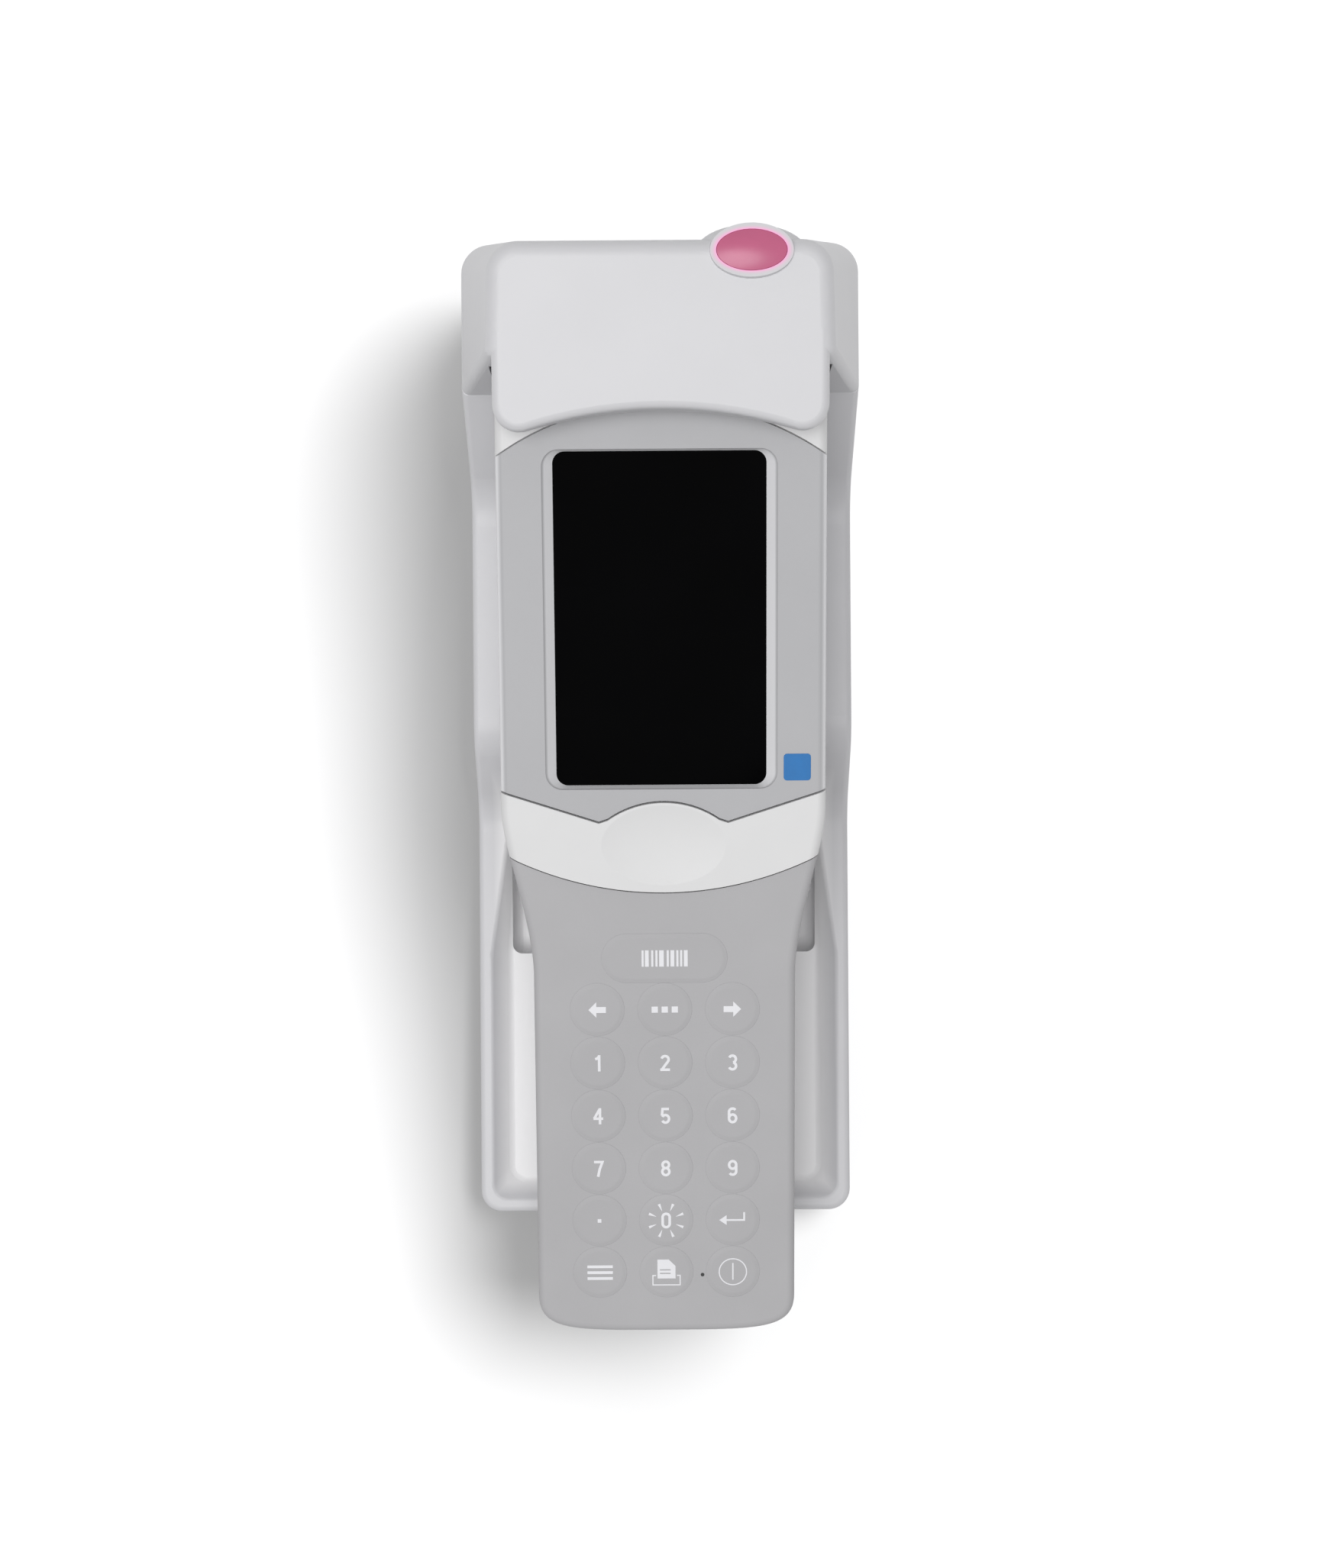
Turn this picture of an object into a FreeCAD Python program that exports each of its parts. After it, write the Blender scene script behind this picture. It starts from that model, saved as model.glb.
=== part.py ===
import FreeCAD, Part
import math
import os

os.makedirs("parts", exist_ok=True)

# Handheld blood analyzer lying in its charging and downloading cradle.
# Millimetres. +Z is up, +Y runs towards the hood, +X is to the right of a user at the keypad end.
# The origin lies on the table, under the middle of the whole set.
# Analyzer pieces are drawn flat in their own frame and then seated:
# x to the right, y from the keypad end towards the display end, z = 0 on the face.

# Cradle, outside
cradle_length = 240.6
rail_width = 8.45
analyzer_overhang = 23.9
plan_corner_radius = 5.5
hood_corner_radius = 7.0
shell_wall = 2.5
shell_bottom_z = 1.5
low_rim_z = 20.0
mid_rail_z = 37.0
flank_z = 67.0
low_rim_length = 104.0
rise_to_mid = 18.0
mid_rail_length = 61.0
rise_to_flank = 21.4
rim_crest = 3.2
rim_edge_radius = 1.5
side_bend_radius = 14.0
hood_side_lean = 0.206
hood_rear_lean = 0.19
hood_above_face = 12.5
hood_edge_radius = 3.6
hood_front_lean = 2.7
hood_front_radius = 2.0
visor_half_width = 38.1
visor_edge_back = 45.3
visor_arc_radius = 104.0
visor_corner_radius = 6.0
visor_root = 8.0
visor_lip_radius = 1.9

# Allowances of the drawing
# A cutting solid reaches past the face that it opens, and large ones well past the object.
# Lumps of one solid are sunk into each other before they are joined.
past = 1.0
well_past = 20.0
sink = 0.5
snap = 0.01
hair = 0.001
least_radius = 1.0

# Cradle, inside
well_clearance = 0.9
well_floor_z = 23.3
tray_floor_z = 16.0
tray_slope_run = 4.6
pocket_floor_z = 8.0
pocket_front_y = 66.7
pocket_length = 75.0
pocket_ramp = 6.0
floor_bend = 2.4
tray_narrowing = 36.0
end_gap = 3.1
partition_thickness = 2.4
roof_thickness = 3.4
visor_clearance = 0.8
rail_wall = 2.6
handle_rib_x = 17.5
handle_rib_thickness = 3.0
handle_rib_gap = 0.3
handle_rib_start = 10.0
handle_rib_length = 48.0
rib_bend = 2.0
pocket_bend = 4.0
ramp_bend = 3.5
well_bend = 3.0
ceiling_bend = 4.0
tray_corner_radius = 4.0
tray_bend = 14.0
throat_bend = 10.0

# Cradle base, feet and screws
base_thickness = 2.5
base_gap = 0.25
foot_diameter = 12.0
foot_inset_x = 14.0
foot_inset_y = 34.0
foot_recess = 0.6
screw_boss_diameter = 8.0
screw_inset_x = 12.0
screw_inset_y = 16.0
cradle_screw_diameter = 3.0
cradle_screw_length = 9.0
cradle_screw_head = 5.6
cradle_screw_head_height = 1.6
drive_slot_width = 0.7
drive_slot_depth = 1.0
screw_hole_gap = 0.2
screw_seat_gap = 0.05

# Cradle electronics
board_thickness = 1.6
cradle_board_width = 60.0
cradle_board_length = 72.0
cradle_board_z = 8.0
cradle_board_back_gap = 0.6
cradle_post_diameter = 6.0
cradle_post_inset = 5.0
# Parts on the cradle board: x, distance from the rear edge, width, length, height
cradle_chips = [(-14.0, 54.0, 14.0, 14.0, 2.0), (12.0, 52.0, 18.0, 16.0, 8.0),
                (-16.0, 22.0, 10.0, 5.0, 3.0)]
capacitor_x = 4.0
capacitor_from_rear = 20.0
capacitor_diameter = 6.0
capacitor_height = 9.0
jack_x = -18.0
jack_width = 9.0
jack_height = 11.0
jack_depth = 12.0
jack_nose = 8.4
jack_bore = 5.6
jack_bore_depth = 9.5
jack_pin = 1.9
jack_pin_recess = 0.5
port_x = 14.0
port_width = 16.0
port_height = 13.0
port_depth = 12.0
port_nose_margin = 0.8
port_socket_width = 11.8
port_socket_height = 6.8
port_socket_depth = 10.5
port_latch_width = 5.9
port_latch_height = 1.6
port_fit = 0.15
ir_width = 20.0
ir_height = 10.0
ir_window_thickness = 1.8
ir_lip = 1.5
ir_depth_below_face = 14.6
transceiver_width = 12.0
transceiver_height = 6.0
transceiver_depth = 4.0
eye_diameter = 5.0
eye_rise = 1.0
eye_x = 3.0
lens_x = 20.5
lens_from_rear = 11.2
lens_length = 15.7
lens_breadth = 9.1
lens_fit = 0.12
lens_depth = 3.2
lens_dome = 0.9
dome_latitude = 60.0
bump_rise = 0.6
bump_margin_top = 1.5
bump_flare_side = 5.0
bump_flare_rear = 2.3
bump_drop = 5.0
bump_lean = 6.4
bump_root = 22.0
bump_sections = 6
led_board_width = 12.0
led_board_depth = 3.9
led_board_thickness = 1.2
led_diameter = 3.6
led_gap = 0.4
led_hole_gap = 0.3

# Sprung charging pins
pin_x = 27.0
pin_from_end = 14.0
pin_diameter = 2.4
pin_collar = 4.0
pin_collar_height = 1.2
pin_tip_gap = 0.05
pin_fit = 0.05
pin_barrel = 6.0
pin_barrel_gap = 0.2
pin_neck = 3.0
pin_spring_room = 5.0
pin_block_margin = 4.5
pin_block_floor = 1.4

# Analyzer, outside
analyzer_length = 234.8
head_half_width = 38.4
handle_half_width = 31.3
neck_low = 90.0
neck_high = 131.0
neck_low_pull = 13.0
neck_high_pull = 10.0
end_corner_length = 9.0
end_corner_pull = 9.3
end_corner_reach = 9.2
head_corner_radius = 7.0
head_depth = 72.4
handle_depth = 36.0
foot_front = 165.0
neck_back = 108.0
foot_bend_radius = 14.0
neck_bend_radius = 26.0
face_tilt = 10.2
case_wall = 2.4
back_edge_radius = 4.6
face_edge_radius = 2.0
overlay = 2.6
deck = 2.0
parting = 9.5
seam = 0.2
seam_overrun = 4.0
removal_angle = 14.0

# Analyzer face
bezel_peak = 225.8
bezel_side = 213.5
bezel_low_side = 135.0
notch_x = 15.3
notch_y = 127.5
arch_half_width = 13.2
arch_foot_y = 128.2
arch_peak_y = 132.4
band_low_peak = 110.4
band_low_radius = 80.9
band_proud = 0.7
dimple_y = 122.0
dimple_length = 29.5
dimple_breadth = 19.3
dimple_depth = 0.9
screen_low = 135.4
screen_high = 215.2
screen_width = 54.7
screen_glass_width = 49.7
screen_shift = -0.4
screen_corner_radius = 4.0
screen_glass_radius = 2.8
screen_end_bevel = 0.6
window_margin = 1.6
window_thickness = 1.4
lcd_width = 58.0
lcd_length = 86.0
lcd_thickness = 5.6
ribbon_width = 16.0
ribbon_gap = 2.0

# Keys
key_diameter = 11.4
wide_key_length = 28.4
wide_key_height = 10.4
first_row = 15.6
row_pitch = 13.24
wide_row_step = 12.6
column_pitch = 16.2
key_gap = 0.25
key_proud = 0.22
key_flange = 0.7
key_flange_thickness = 0.6
key_flange_gap = 0.05
key_stem_diameter = 4.0
key_stem_length = 0.9
key_travel = 0.8
key_edge_radius = 0.3
dome_diameter = 5.0
dome_height = 0.5
dome_gap = 0.1
keypad_board_thickness = 1.2
keypad_board_half_width = 27.0
keypad_board_start = 8.0
keypad_board_end = 106.0

# Analyzer inside
main_board_start = 128.0
main_board_end = 229.0
main_board_half_width = 34.0
main_board_depth = 13.0
board_post_x = 32.2
board_post_diameter = 3.6
board_post_low = 134.0
board_post_high = 222.0
# Parts under the main board: x range, y range, height
main_chips = [(-14.0, 6.0, 160.0, 180.0, 2.2), (12.0, 24.0, 150.0, 162.0, 1.8),
              (10.0, 28.0, 190.0, 206.0, 6.0)]
beeper_diameter = 12.0
beeper_height = 4.6
beeper_x = -18.0
beeper_y = 214.0
port_opening_width = 30.5
port_opening_height = 9.0
port_opening_depth = 25.0
guide_wall = 1.8
end_wall_gap = 0.5
guide_length = 49.0
guide_shelf = 1.6
bulkhead_thickness = 3.0
bulkhead_start = 22.5
sled_length = 12.0
sled_width = 31.0
sled_height = 5.6
sled_gap = 0.3
sled_travel = 14.0
sled_contact_width = 16.0
sled_contact_length = 4.0
sled_contact_drop = 1.6
sled_slot_margin = 1.0
rod_x = 11.5
rod_diameter = 3.0
screw_diameter = 4.0
screw_journal = 2.6
running_fit = 0.05
press_fit = 0.01
motor_width = 12.0
motor_height = 10.0
motor_length = 24.0
scanner_width = 26.0
scanner_length = 15.0
scanner_height = 5.6
scanner_depth = 10.6
scanner_window_width = 24.0
scanner_window_height = 4.6
scanner_window_thickness = 1.2
window_fit = 0.15
window_recess = 0.5
window_lip = 0.8
end_window_width = 18.0
end_window_height = 7.0
pack_width = 38.0
pack_length = 38.0
pack_height = 22.0
pack_corner_radius = 2.0
door_width = 44.0
door_length = 44.0
door_from_foot_front = 5.0
door_thickness = 2.0
door_fit = 0.3
door_gap = 0.1
door_lead_in = 2.0
door_tongue = 1.2
door_tongue_thickness = 1.0
grip_count = 5
grip_pitch = 2.4
grip_width = 18.0
grip_depth = 0.5
bay_wall = 1.8
bay_gap = 0.4
contact_width = 7.0
contact_length = 9.0
contact_thickness = 0.6
pad_diameter = 8.0
pad_height = 2.0
pad_recess = 0.6
head_pad_x = 29.4
head_pad_from_front = 10.0
handle_pad_x = 20.0
handle_pad_y = 14.0
case_screw_x = 24.6
case_screw_low = 22.2
case_screw_high = 88.1
case_screw_diameter = 2.8
case_screw_head = 5.2
case_screw_head_height = 2.0
case_screw_sink = 3.2
case_screw_length = 15.0
case_post_diameter = 6.4
case_post_gap = 0.3
case_collar_diameter = 7.8
case_boss_diameter = 8.4
case_boss_height = 3.0

# Places worked out from the sizes above
tilt = math.radians(face_tilt)
analyzer_end_y = -(cradle_length + analyzer_overhang) / 2
tray_front_y = analyzer_end_y + analyzer_overhang
hood_rear_y = tray_front_y + cradle_length
low_end_y = tray_front_y + low_rim_length
mid_start_y = low_end_y + rise_to_mid
mid_end_y = mid_start_y + mid_rail_length
flank_front_y = mid_end_y + rise_to_flank
foot_z = well_floor_z + pad_height
analyzer_end_z = foot_z + head_depth * math.cos(tilt) - analyzer_length * math.sin(tilt)
well_half_width = head_half_width + well_clearance
half_width = well_half_width + rail_width
deck_top = -overlay
deck_low = -overlay - deck
foot_front_depth = head_depth - (analyzer_length - foot_front) * math.tan(tilt)


def world(y, z):
    """Cradle-frame y and z of a point that is given in the analyzer's own frame."""
    wy = analyzer_end_y + y * math.cos(tilt) - z * math.sin(tilt)
    wz = analyzer_end_z + y * math.sin(tilt) + z * math.cos(tilt)
    return wy, wz


def seat(shape):
    """Lay an analyzer piece in the cradle: tilt it up by the face's slope and set it in place."""
    placed = shape.copy()
    placed.rotate(FreeCAD.Vector(0, 0, 0), FreeCAD.Vector(1, 0, 0), face_tilt)
    placed.translate(FreeCAD.Vector(0, analyzer_end_y, analyzer_end_z))
    return placed


def save(name, shape):
    """Write one piece, or one group of like pieces, as its own file."""
    shape.exportStep("parts/" + name + ".step")
    print(name, "solids", len(shape.Solids), "valid", shape.isValid(), "volume", round(shape.Volume, 1))


def point(x, y, z=0.0):
    return FreeCAD.Vector(x, y, z)


def box(x0, x1, y0, y1, z0, z1):
    return Part.makeBox(x1 - x0, y1 - y0, z1 - z0, point(x0, y0, z0))


def rod(diameter, length, x, y, z, direction):
    return Part.makeCylinder(diameter / 2, length, point(x, y, z), direction)


def upright(diameter, x, y, z0, z1):
    return rod(diameter, z1 - z0, x, y, z0, point(0, 0, 1))


def bent_wire(corners, radii, place):
    """Closed wire of straight runs whose corners are rounded by tangent arcs."""
    count = len(corners)
    starts = []
    ends = []
    middles = []
    for i in range(count):
        here = FreeCAD.Vector(corners[i][0], corners[i][1], 0)
        before = FreeCAD.Vector(corners[i - 1][0], corners[i - 1][1], 0) - here
        after = FreeCAD.Vector(corners[(i + 1) % count][0], corners[(i + 1) % count][1], 0) - here
        before.normalize()
        after.normalize()
        half = before.getAngle(after) / 2
        reach = radii[i] / math.tan(half)
        bisector = before + after
        if radii[i] > 0:
            bisector.normalize()
            centre = here + bisector * (radii[i] / math.sin(half))
            middles.append(centre - bisector * radii[i])
        else:
            middles.append(here)
        starts.append(here + before * reach)
        ends.append(here + after * reach)
    edges = []
    for i in range(count):
        if radii[i] > 0:
            edges.append(Part.Arc(place(starts[i]), place(middles[i]), place(ends[i])).toShape())
        following = starts[(i + 1) % count]
        if ends[i].distanceToPoint(following) > 0.001:
            edges.append(Part.LineSegment(place(ends[i]), place(following)).toShape())
    return Part.Wire(edges)


def side_prism(corners, half, radii=None):
    """Prism across X from a side profile of y and z corners."""
    if radii is None:
        radii = [0.0] * len(corners)
    wire = bent_wire(corners, radii, lambda p: FreeCAD.Vector(-half, p.x, p.y))
    return Part.Face(wire).extrude(point(2 * half, 0, 0))


def plan_prism(corners, z0, z1, radii=None):
    """Upright prism from a plan of x and y corners."""
    if radii is None:
        radii = [0.0] * len(corners)
    wire = bent_wire(corners, radii, lambda p: FreeCAD.Vector(p.x, p.y, z0))
    return Part.Face(wire).extrude(point(0, 0, z1 - z0))


def rectangle(x0, x1, y0, y1):
    return [(x0, y0), (x1, y0), (x1, y1), (x0, y1)]


def rounded_block(x0, x1, y0, y1, z0, z1, radius):
    return plan_prism(rectangle(x0, x1, y0, y1), z0, z1, [radius] * 4)


def rounded_loft(low, high, z0, z1, low_radius, high_radius):
    """Block between two rounded rectangles, each given as x0, x1, y0, y1."""
    low_wire = bent_wire(rectangle(*low), [low_radius] * 4, lambda p: FreeCAD.Vector(p.x, p.y, z0))
    high_wire = bent_wire(rectangle(*high), [high_radius] * 4, lambda p: FreeCAD.Vector(p.x, p.y, z1))
    return Part.makeLoft([low_wire, high_wire], True, True)


def oval(x, y, z, length, breadth):
    """Ellipse wire with its long axis along X."""
    curve = Part.Ellipse(point(x, y, z), length / 2, breadth / 2)
    return Part.Wire(curve.toShape())


def oval_prism(x, y, z0, z1, length, breadth):
    return Part.Face(oval(x, y, z0, length, breadth)).extrude(point(0, 0, z1 - z0))


def pill(x, y, z0, z1, length, height):
    return rounded_block(x - length / 2, x + length / 2, y - height / 2, y + height / 2,
                         z0, z1, height / 2 - hair)


def group(shapes):
    return Part.makeCompound(shapes)


def joined(shapes):
    return shapes[0].fuse(shapes[1:]).removeSplitter()


def case_outline(inset, z):
    """Plan of the analyzer: handle, necked shoulders and head, drawn in by inset."""
    low = handle_half_width - inset
    high = head_half_width - inset
    top = analyzer_length - inset
    corner = max(head_corner_radius - inset, least_radius)
    bow = corner * (1 - math.sqrt(1 / 2))

    def curve(poles):
        bezier = Part.BezierCurve()
        bezier.setPoles([point(px, py, z) for px, py in poles])
        return bezier.toShape()

    def half(side):
        foot = curve([(0, inset), (side * (low - end_corner_reach), inset),
                      (side * low, inset + end_corner_length - end_corner_pull),
                      (side * low, inset + end_corner_length)])
        run = Part.LineSegment(point(side * low, inset + end_corner_length, z),
                               point(side * low, neck_low, z)).toShape()
        neck = curve([(side * low, neck_low), (side * low, neck_low + neck_low_pull),
                      (side * high, neck_high - neck_high_pull), (side * high, neck_high)])
        cheek = Part.LineSegment(point(side * high, neck_high, z),
                                 point(side * high, top - corner, z)).toShape()
        bend = Part.Arc(point(side * high, top - corner, z), point(side * (high - bow), top - bow, z),
                        point(side * (high - corner), top, z)).toShape()
        brow = Part.LineSegment(point(side * (high - corner), top, z), point(0, top, z)).toShape()
        return [foot, run, neck, cheek, bend, brow]

    right = half(1)
    left = half(-1)
    left.reverse()
    return Part.Wire(right + left)


def case_prism(inset, z0, z1):
    return Part.Face(case_outline(inset, z0)).extrude(point(0, 0, z1 - z0))


def under_prism(rise):
    """All that lies above the analyzer's back, which is drawn in from below by rise."""
    beyond = analyzer_length + well_past
    beyond_depth = head_depth + well_past * math.tan(tilt)
    corners = [(-well_past, 0), (-well_past, rise - handle_depth), (neck_back, rise - handle_depth),
               (foot_front, rise - foot_front_depth), (beyond, rise - beyond_depth), (beyond, 0)]
    radii = [0, 0, neck_bend_radius, foot_bend_radius, 0, 0]
    return side_prism(corners, head_half_width + well_past, radii)


reach = head_half_width + seam_overrun


def across(y, z):
    return [Part.LineSegment(point(-reach, y, z), point(reach, y, z)).toShape()]


def side_lines(low_y, high_y, z):
    return [Part.LineSegment(point(s * reach, low_y, z), point(s * reach, high_y, z)).toShape()
            for s in (-1, 1)]


def bezel_arc(shift, z):
    """Upper edge of the bezel: one arc over the whole width, moved along y by shift."""
    rise = bezel_peak - bezel_side
    radius = (head_half_width ** 2 + rise ** 2) / (2 * rise)
    side_y = bezel_peak - radius + math.sqrt(radius ** 2 - reach ** 2)
    arc = Part.Arc(point(-reach, side_y + shift, z), point(0, bezel_peak + shift, z),
                   point(reach, side_y + shift, z))
    return [arc.toShape()], side_y + shift


def seam_curve(shift, z):
    """Lower edge of the bezel: two sloping runs, a notch each side and an arch over the thumb rest."""
    slope = (bezel_low_side - notch_y) / (head_half_width - notch_x)
    side_y = bezel_low_side + slope * (reach - head_half_width) + shift
    edges = []
    for s in (-1, 1):
        edges.append(Part.LineSegment(point(s * reach, side_y, z),
                                      point(s * notch_x, notch_y + shift, z)).toShape())
        edges.append(Part.LineSegment(point(s * notch_x, notch_y + shift, z),
                                      point(s * arch_half_width, arch_foot_y + shift, z)).toShape())
    edges.append(Part.Arc(point(-arch_half_width, arch_foot_y + shift, z),
                          point(0, arch_peak_y + shift, z),
                          point(arch_half_width, arch_foot_y + shift, z)).toShape())
    return edges, side_y


def band_curve(shift, z):
    """Lower edge of the white band: one arc over the whole width."""
    drop = band_low_radius - math.sqrt(band_low_radius ** 2 - reach ** 2)
    side_y = band_low_peak + drop + shift
    arc = Part.Arc(point(-reach, side_y, z), point(0, band_low_peak + shift, z), point(reach, side_y, z))
    return [arc.toShape()], side_y


def zone(low, high, z0, z1):
    """Part of the face between two seam curves."""
    low_edges, low_y = low
    high_edges, high_y = high
    edges = low_edges + high_edges + side_lines(low_y, high_y, z0)
    wire = Part.Wire(Part.__sortEdges__(edges))
    return Part.Face(wire).extrude(point(0, 0, z1 - z0))


def edges_where(shape, test):
    return [e for e in shape.Edges if test(e.BoundBox)]


# Cradle shell


def roof_z(y):
    """Height of the hood's flat top, which lies parallel to the analyzer's face."""
    face_z = analyzer_end_z + (y - analyzer_end_y) * math.tan(tilt)
    return face_z + hood_above_face


def underside_y_z():
    """Line under the visor: it rises along the way the analyzer is drawn out."""
    top_y, top_z = world(analyzer_length, 0)
    return top_y, top_z + visor_clearance / math.cos(math.radians(removal_angle))


def visor_under_z(y):
    top_y, top_z = underside_y_z()
    return top_z + (top_y - y) * math.tan(math.radians(removal_angle))


visor_edge_y = hood_rear_y - visor_edge_back
partition_y = world(analyzer_length, -head_depth)[0] + end_gap
hood_blank_z = roof_z(hood_rear_y) + well_past
base_top_z = shell_bottom_z + base_thickness


def cradle_body():
    """Outside of the tray with its rims at three heights."""
    plan = rounded_block(-half_width, half_width, tray_front_y, hood_rear_y,
                         shell_bottom_z, flank_z, plan_corner_radius)
    rear_corners = rounded_block(-half_width, half_width, tray_front_y - well_past, hood_rear_y,
                                 shell_bottom_z, flank_z, hood_corner_radius)
    corners = [(tray_front_y - past, shell_bottom_z - past), (tray_front_y - past, low_rim_z),
               (low_end_y, low_rim_z), (mid_start_y, mid_rail_z), (mid_end_y, mid_rail_z),
               (flank_front_y, flank_z), (flank_front_y + past, flank_z + well_past),
               (hood_rear_y + past, flank_z + well_past), (hood_rear_y + past, shell_bottom_z - past)]
    radii = [0, 0, side_bend_radius, side_bend_radius, side_bend_radius, 0, 0, 0, 0]
    return plan.common(rear_corners).common(side_prism(corners, 2 * half_width, radii))


def hood_blank(inset):
    """Leaning sides and rear of the hood, drawn in by inset, with the top left open."""
    rise = hood_blank_z - flank_z
    front_y = flank_front_y - 2 * hood_corner_radius
    low_half = half_width - inset
    high_half = low_half - hood_side_lean * rise
    rear = hood_rear_y - inset
    low = (-low_half, low_half, front_y, rear)
    high = (-high_half, high_half, front_y, rear - hood_rear_lean * rise)
    radius = hood_corner_radius - inset
    return rounded_loft(low, high, flank_z, hood_blank_z, radius, radius)


def hood_block():
    """Hood above the flanks, cut by the sloping top and with its outer edges rounded."""
    block = hood_blank(0)
    far = hood_rear_y + well_past
    front_top_y = flank_front_y + hood_front_lean
    shape = [(flank_front_y, flank_z - past), (front_top_y, roof_z(front_top_y)),
             (far, roof_z(far)), (far, flank_z - past)]
    block = block.common(side_prism(shape, 2 * half_width))
    brows = edges_where(block, lambda b: b.ZMin > flank_z + rise_to_flank and b.YMax > front_top_y + snap)
    block = block.makeFillet(hood_edge_radius, brows)
    fronts = edges_where(block, lambda b: b.YMax < front_top_y + snap and b.ZMax - b.ZMin > rise_to_flank)
    return block.makeFillet(hood_front_radius, fronts)


def visor():
    """Roof plate that reaches forward over the display end, with a concave front and rounded lips."""
    sag = visor_arc_radius - math.sqrt(visor_arc_radius ** 2 - visor_half_width ** 2)
    back_y = flank_front_y + visor_root
    front_y = visor_edge_y - sag - past
    shape = [(front_y, visor_under_z(front_y)), (front_y, roof_z(front_y)),
             (back_y, roof_z(back_y)), (back_y, visor_under_z(back_y))]
    plate = side_prism(shape, visor_half_width)
    scoop = Part.makeCylinder(visor_arc_radius, roof_z(back_y),
                              point(0, visor_edge_y - visor_arc_radius, 0))
    plate = plate.cut(scoop)
    corners = edges_where(plate, lambda b: b.YMax < visor_edge_y and b.XMax - b.XMin < snap
                          and b.YMax - b.YMin < snap)
    plate = plate.makeFillet(visor_corner_radius, corners)
    lips = edges_where(plate, lambda b: b.YMin < back_y - snap
                       and (b.XMax - b.XMin > snap or b.YMax - b.YMin > snap))
    return plate.makeFillet(visor_lip_radius, lips)


def head_space():
    """Room for the analyzer's head, from the pocket to the partition and up under the visor."""
    pocket_y = tray_front_y + pocket_front_y
    pocket_end = pocket_y + pocket_length
    open_y = visor_edge_y - well_past
    ceiling_y, ceiling_z = underside_y_z()
    shape = [(pocket_y, pocket_floor_z), (pocket_end, pocket_floor_z),
             (pocket_end + pocket_ramp, well_floor_z), (partition_y, well_floor_z),
             (partition_y, ceiling_z), (ceiling_y, ceiling_z),
             (open_y, visor_under_z(open_y)), (open_y, hood_blank_z), (pocket_y, hood_blank_z)]
    radii = [pocket_bend, pocket_bend, ramp_bend, well_bend, ceiling_bend, 0, 0, 0, 0]
    room = side_prism(shape, well_half_width, radii)
    floor_edges = edges_where(room, lambda b: b.XMax - b.XMin < snap and b.YMax < partition_y - snap
                              and b.ZMax < well_floor_z + snap)
    return room.makeFillet(floor_bend, floor_edges)


def tray_space():
    """Shallow tray with sloping sides beside and under the handle, drawn in towards the head's well."""
    pocket_y = tray_front_y + pocket_front_y
    narrow_y = pocket_y + tray_narrowing
    radii = [tray_corner_radius, tray_corner_radius, tray_bend, throat_bend, throat_bend, tray_bend]

    def plan(inset, z):
        half = half_width - rim_crest - inset
        start_y = tray_front_y + rim_crest + inset
        throat = well_half_width - inset / 2
        corners = [(-half, start_y), (half, start_y), (half, pocket_y), (throat, narrow_y),
                   (-throat, narrow_y), (-half, pocket_y)]
        return bent_wire(corners, radii, lambda p: FreeCAD.Vector(p.x, p.y, z))

    slope = Part.makeLoft([plan(tray_slope_run, tray_floor_z), plan(0, low_rim_z)], True, True)
    above = Part.Face(plan(0, low_rim_z)).extrude(point(0, 0, hood_blank_z - low_rim_z))
    floor_edges = edges_where(slope, lambda b: b.ZMax < tray_floor_z + snap)
    return slope.makeFillet(floor_bend, floor_edges).fuse(above)


def under_space():
    """Hollow below the tray and the well, open at the bottom, and the chamber behind the partition."""
    inner = half_width - shell_wall
    pocket_y = tray_front_y + pocket_front_y
    front = tray_front_y + shell_wall
    rear = hood_rear_y - shell_wall
    low = shell_bottom_z - past
    chamber_y = partition_y + partition_thickness
    chamber_top = roof_z(chamber_y) - roof_thickness
    rear_top = rear - hood_rear_lean * (chamber_top - flank_z)
    pocket_end = pocket_y + pocket_length
    floor = shell_wall
    shape = [(front, low), (front, tray_floor_z - floor), (pocket_y - floor, tray_floor_z - floor),
             (pocket_y - floor, pocket_floor_z - floor), (pocket_end + floor, pocket_floor_z - floor),
             (pocket_end + pocket_ramp + floor, well_floor_z - floor),
             (chamber_y, well_floor_z - floor), (chamber_y, chamber_top),
             (rear_top, chamber_top), (rear, flank_z), (rear, low)]
    hollow = side_prism(shape, well_half_width - shell_wall / 2)
    below = rounded_block(-inner, inner, front, rear, low, flank_z, plan_corner_radius - shell_wall)
    hollow = hollow.common(below.fuse(hood_blank(shell_wall)))
    plan = rounded_block(-inner, inner, front, rear, low, base_top_z, plan_corner_radius - shell_wall)
    seat_plan = plan.common(rounded_block(-inner, inner, front - well_past, rear, low, base_top_z,
                                          hood_corner_radius - shell_wall))
    return hollow.fuse(seat_plan)


def rail_space(side):
    """Hollow inside a side rail, open at the bottom, under the middle and rear heights."""
    inner_x = well_half_width + rail_wall
    outer_x = half_width - rail_wall
    low = shell_bottom_z - past
    start = mid_start_y + rail_wall
    rear = hood_rear_y - hood_corner_radius
    shape = [(start, low), (start, mid_rail_z - rail_wall), (mid_end_y, mid_rail_z - rail_wall),
             (flank_front_y + rail_wall, flank_z - 2 * rail_wall), (rear, flank_z - 2 * rail_wall),
             (rear, low)]
    wire = bent_wire(shape, [0.0] * len(shape), lambda p: FreeCAD.Vector(side * inner_x, p.x, p.y))
    return Part.Face(wire).extrude(point(side * (outer_x - inner_x), 0, 0))


def corner_places(inset_x, inset_y):
    return [(sx * (half_width - inset_x), y) for sx in (-1, 1)
            for y in (tray_front_y + inset_y, hood_rear_y - inset_y)]


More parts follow.
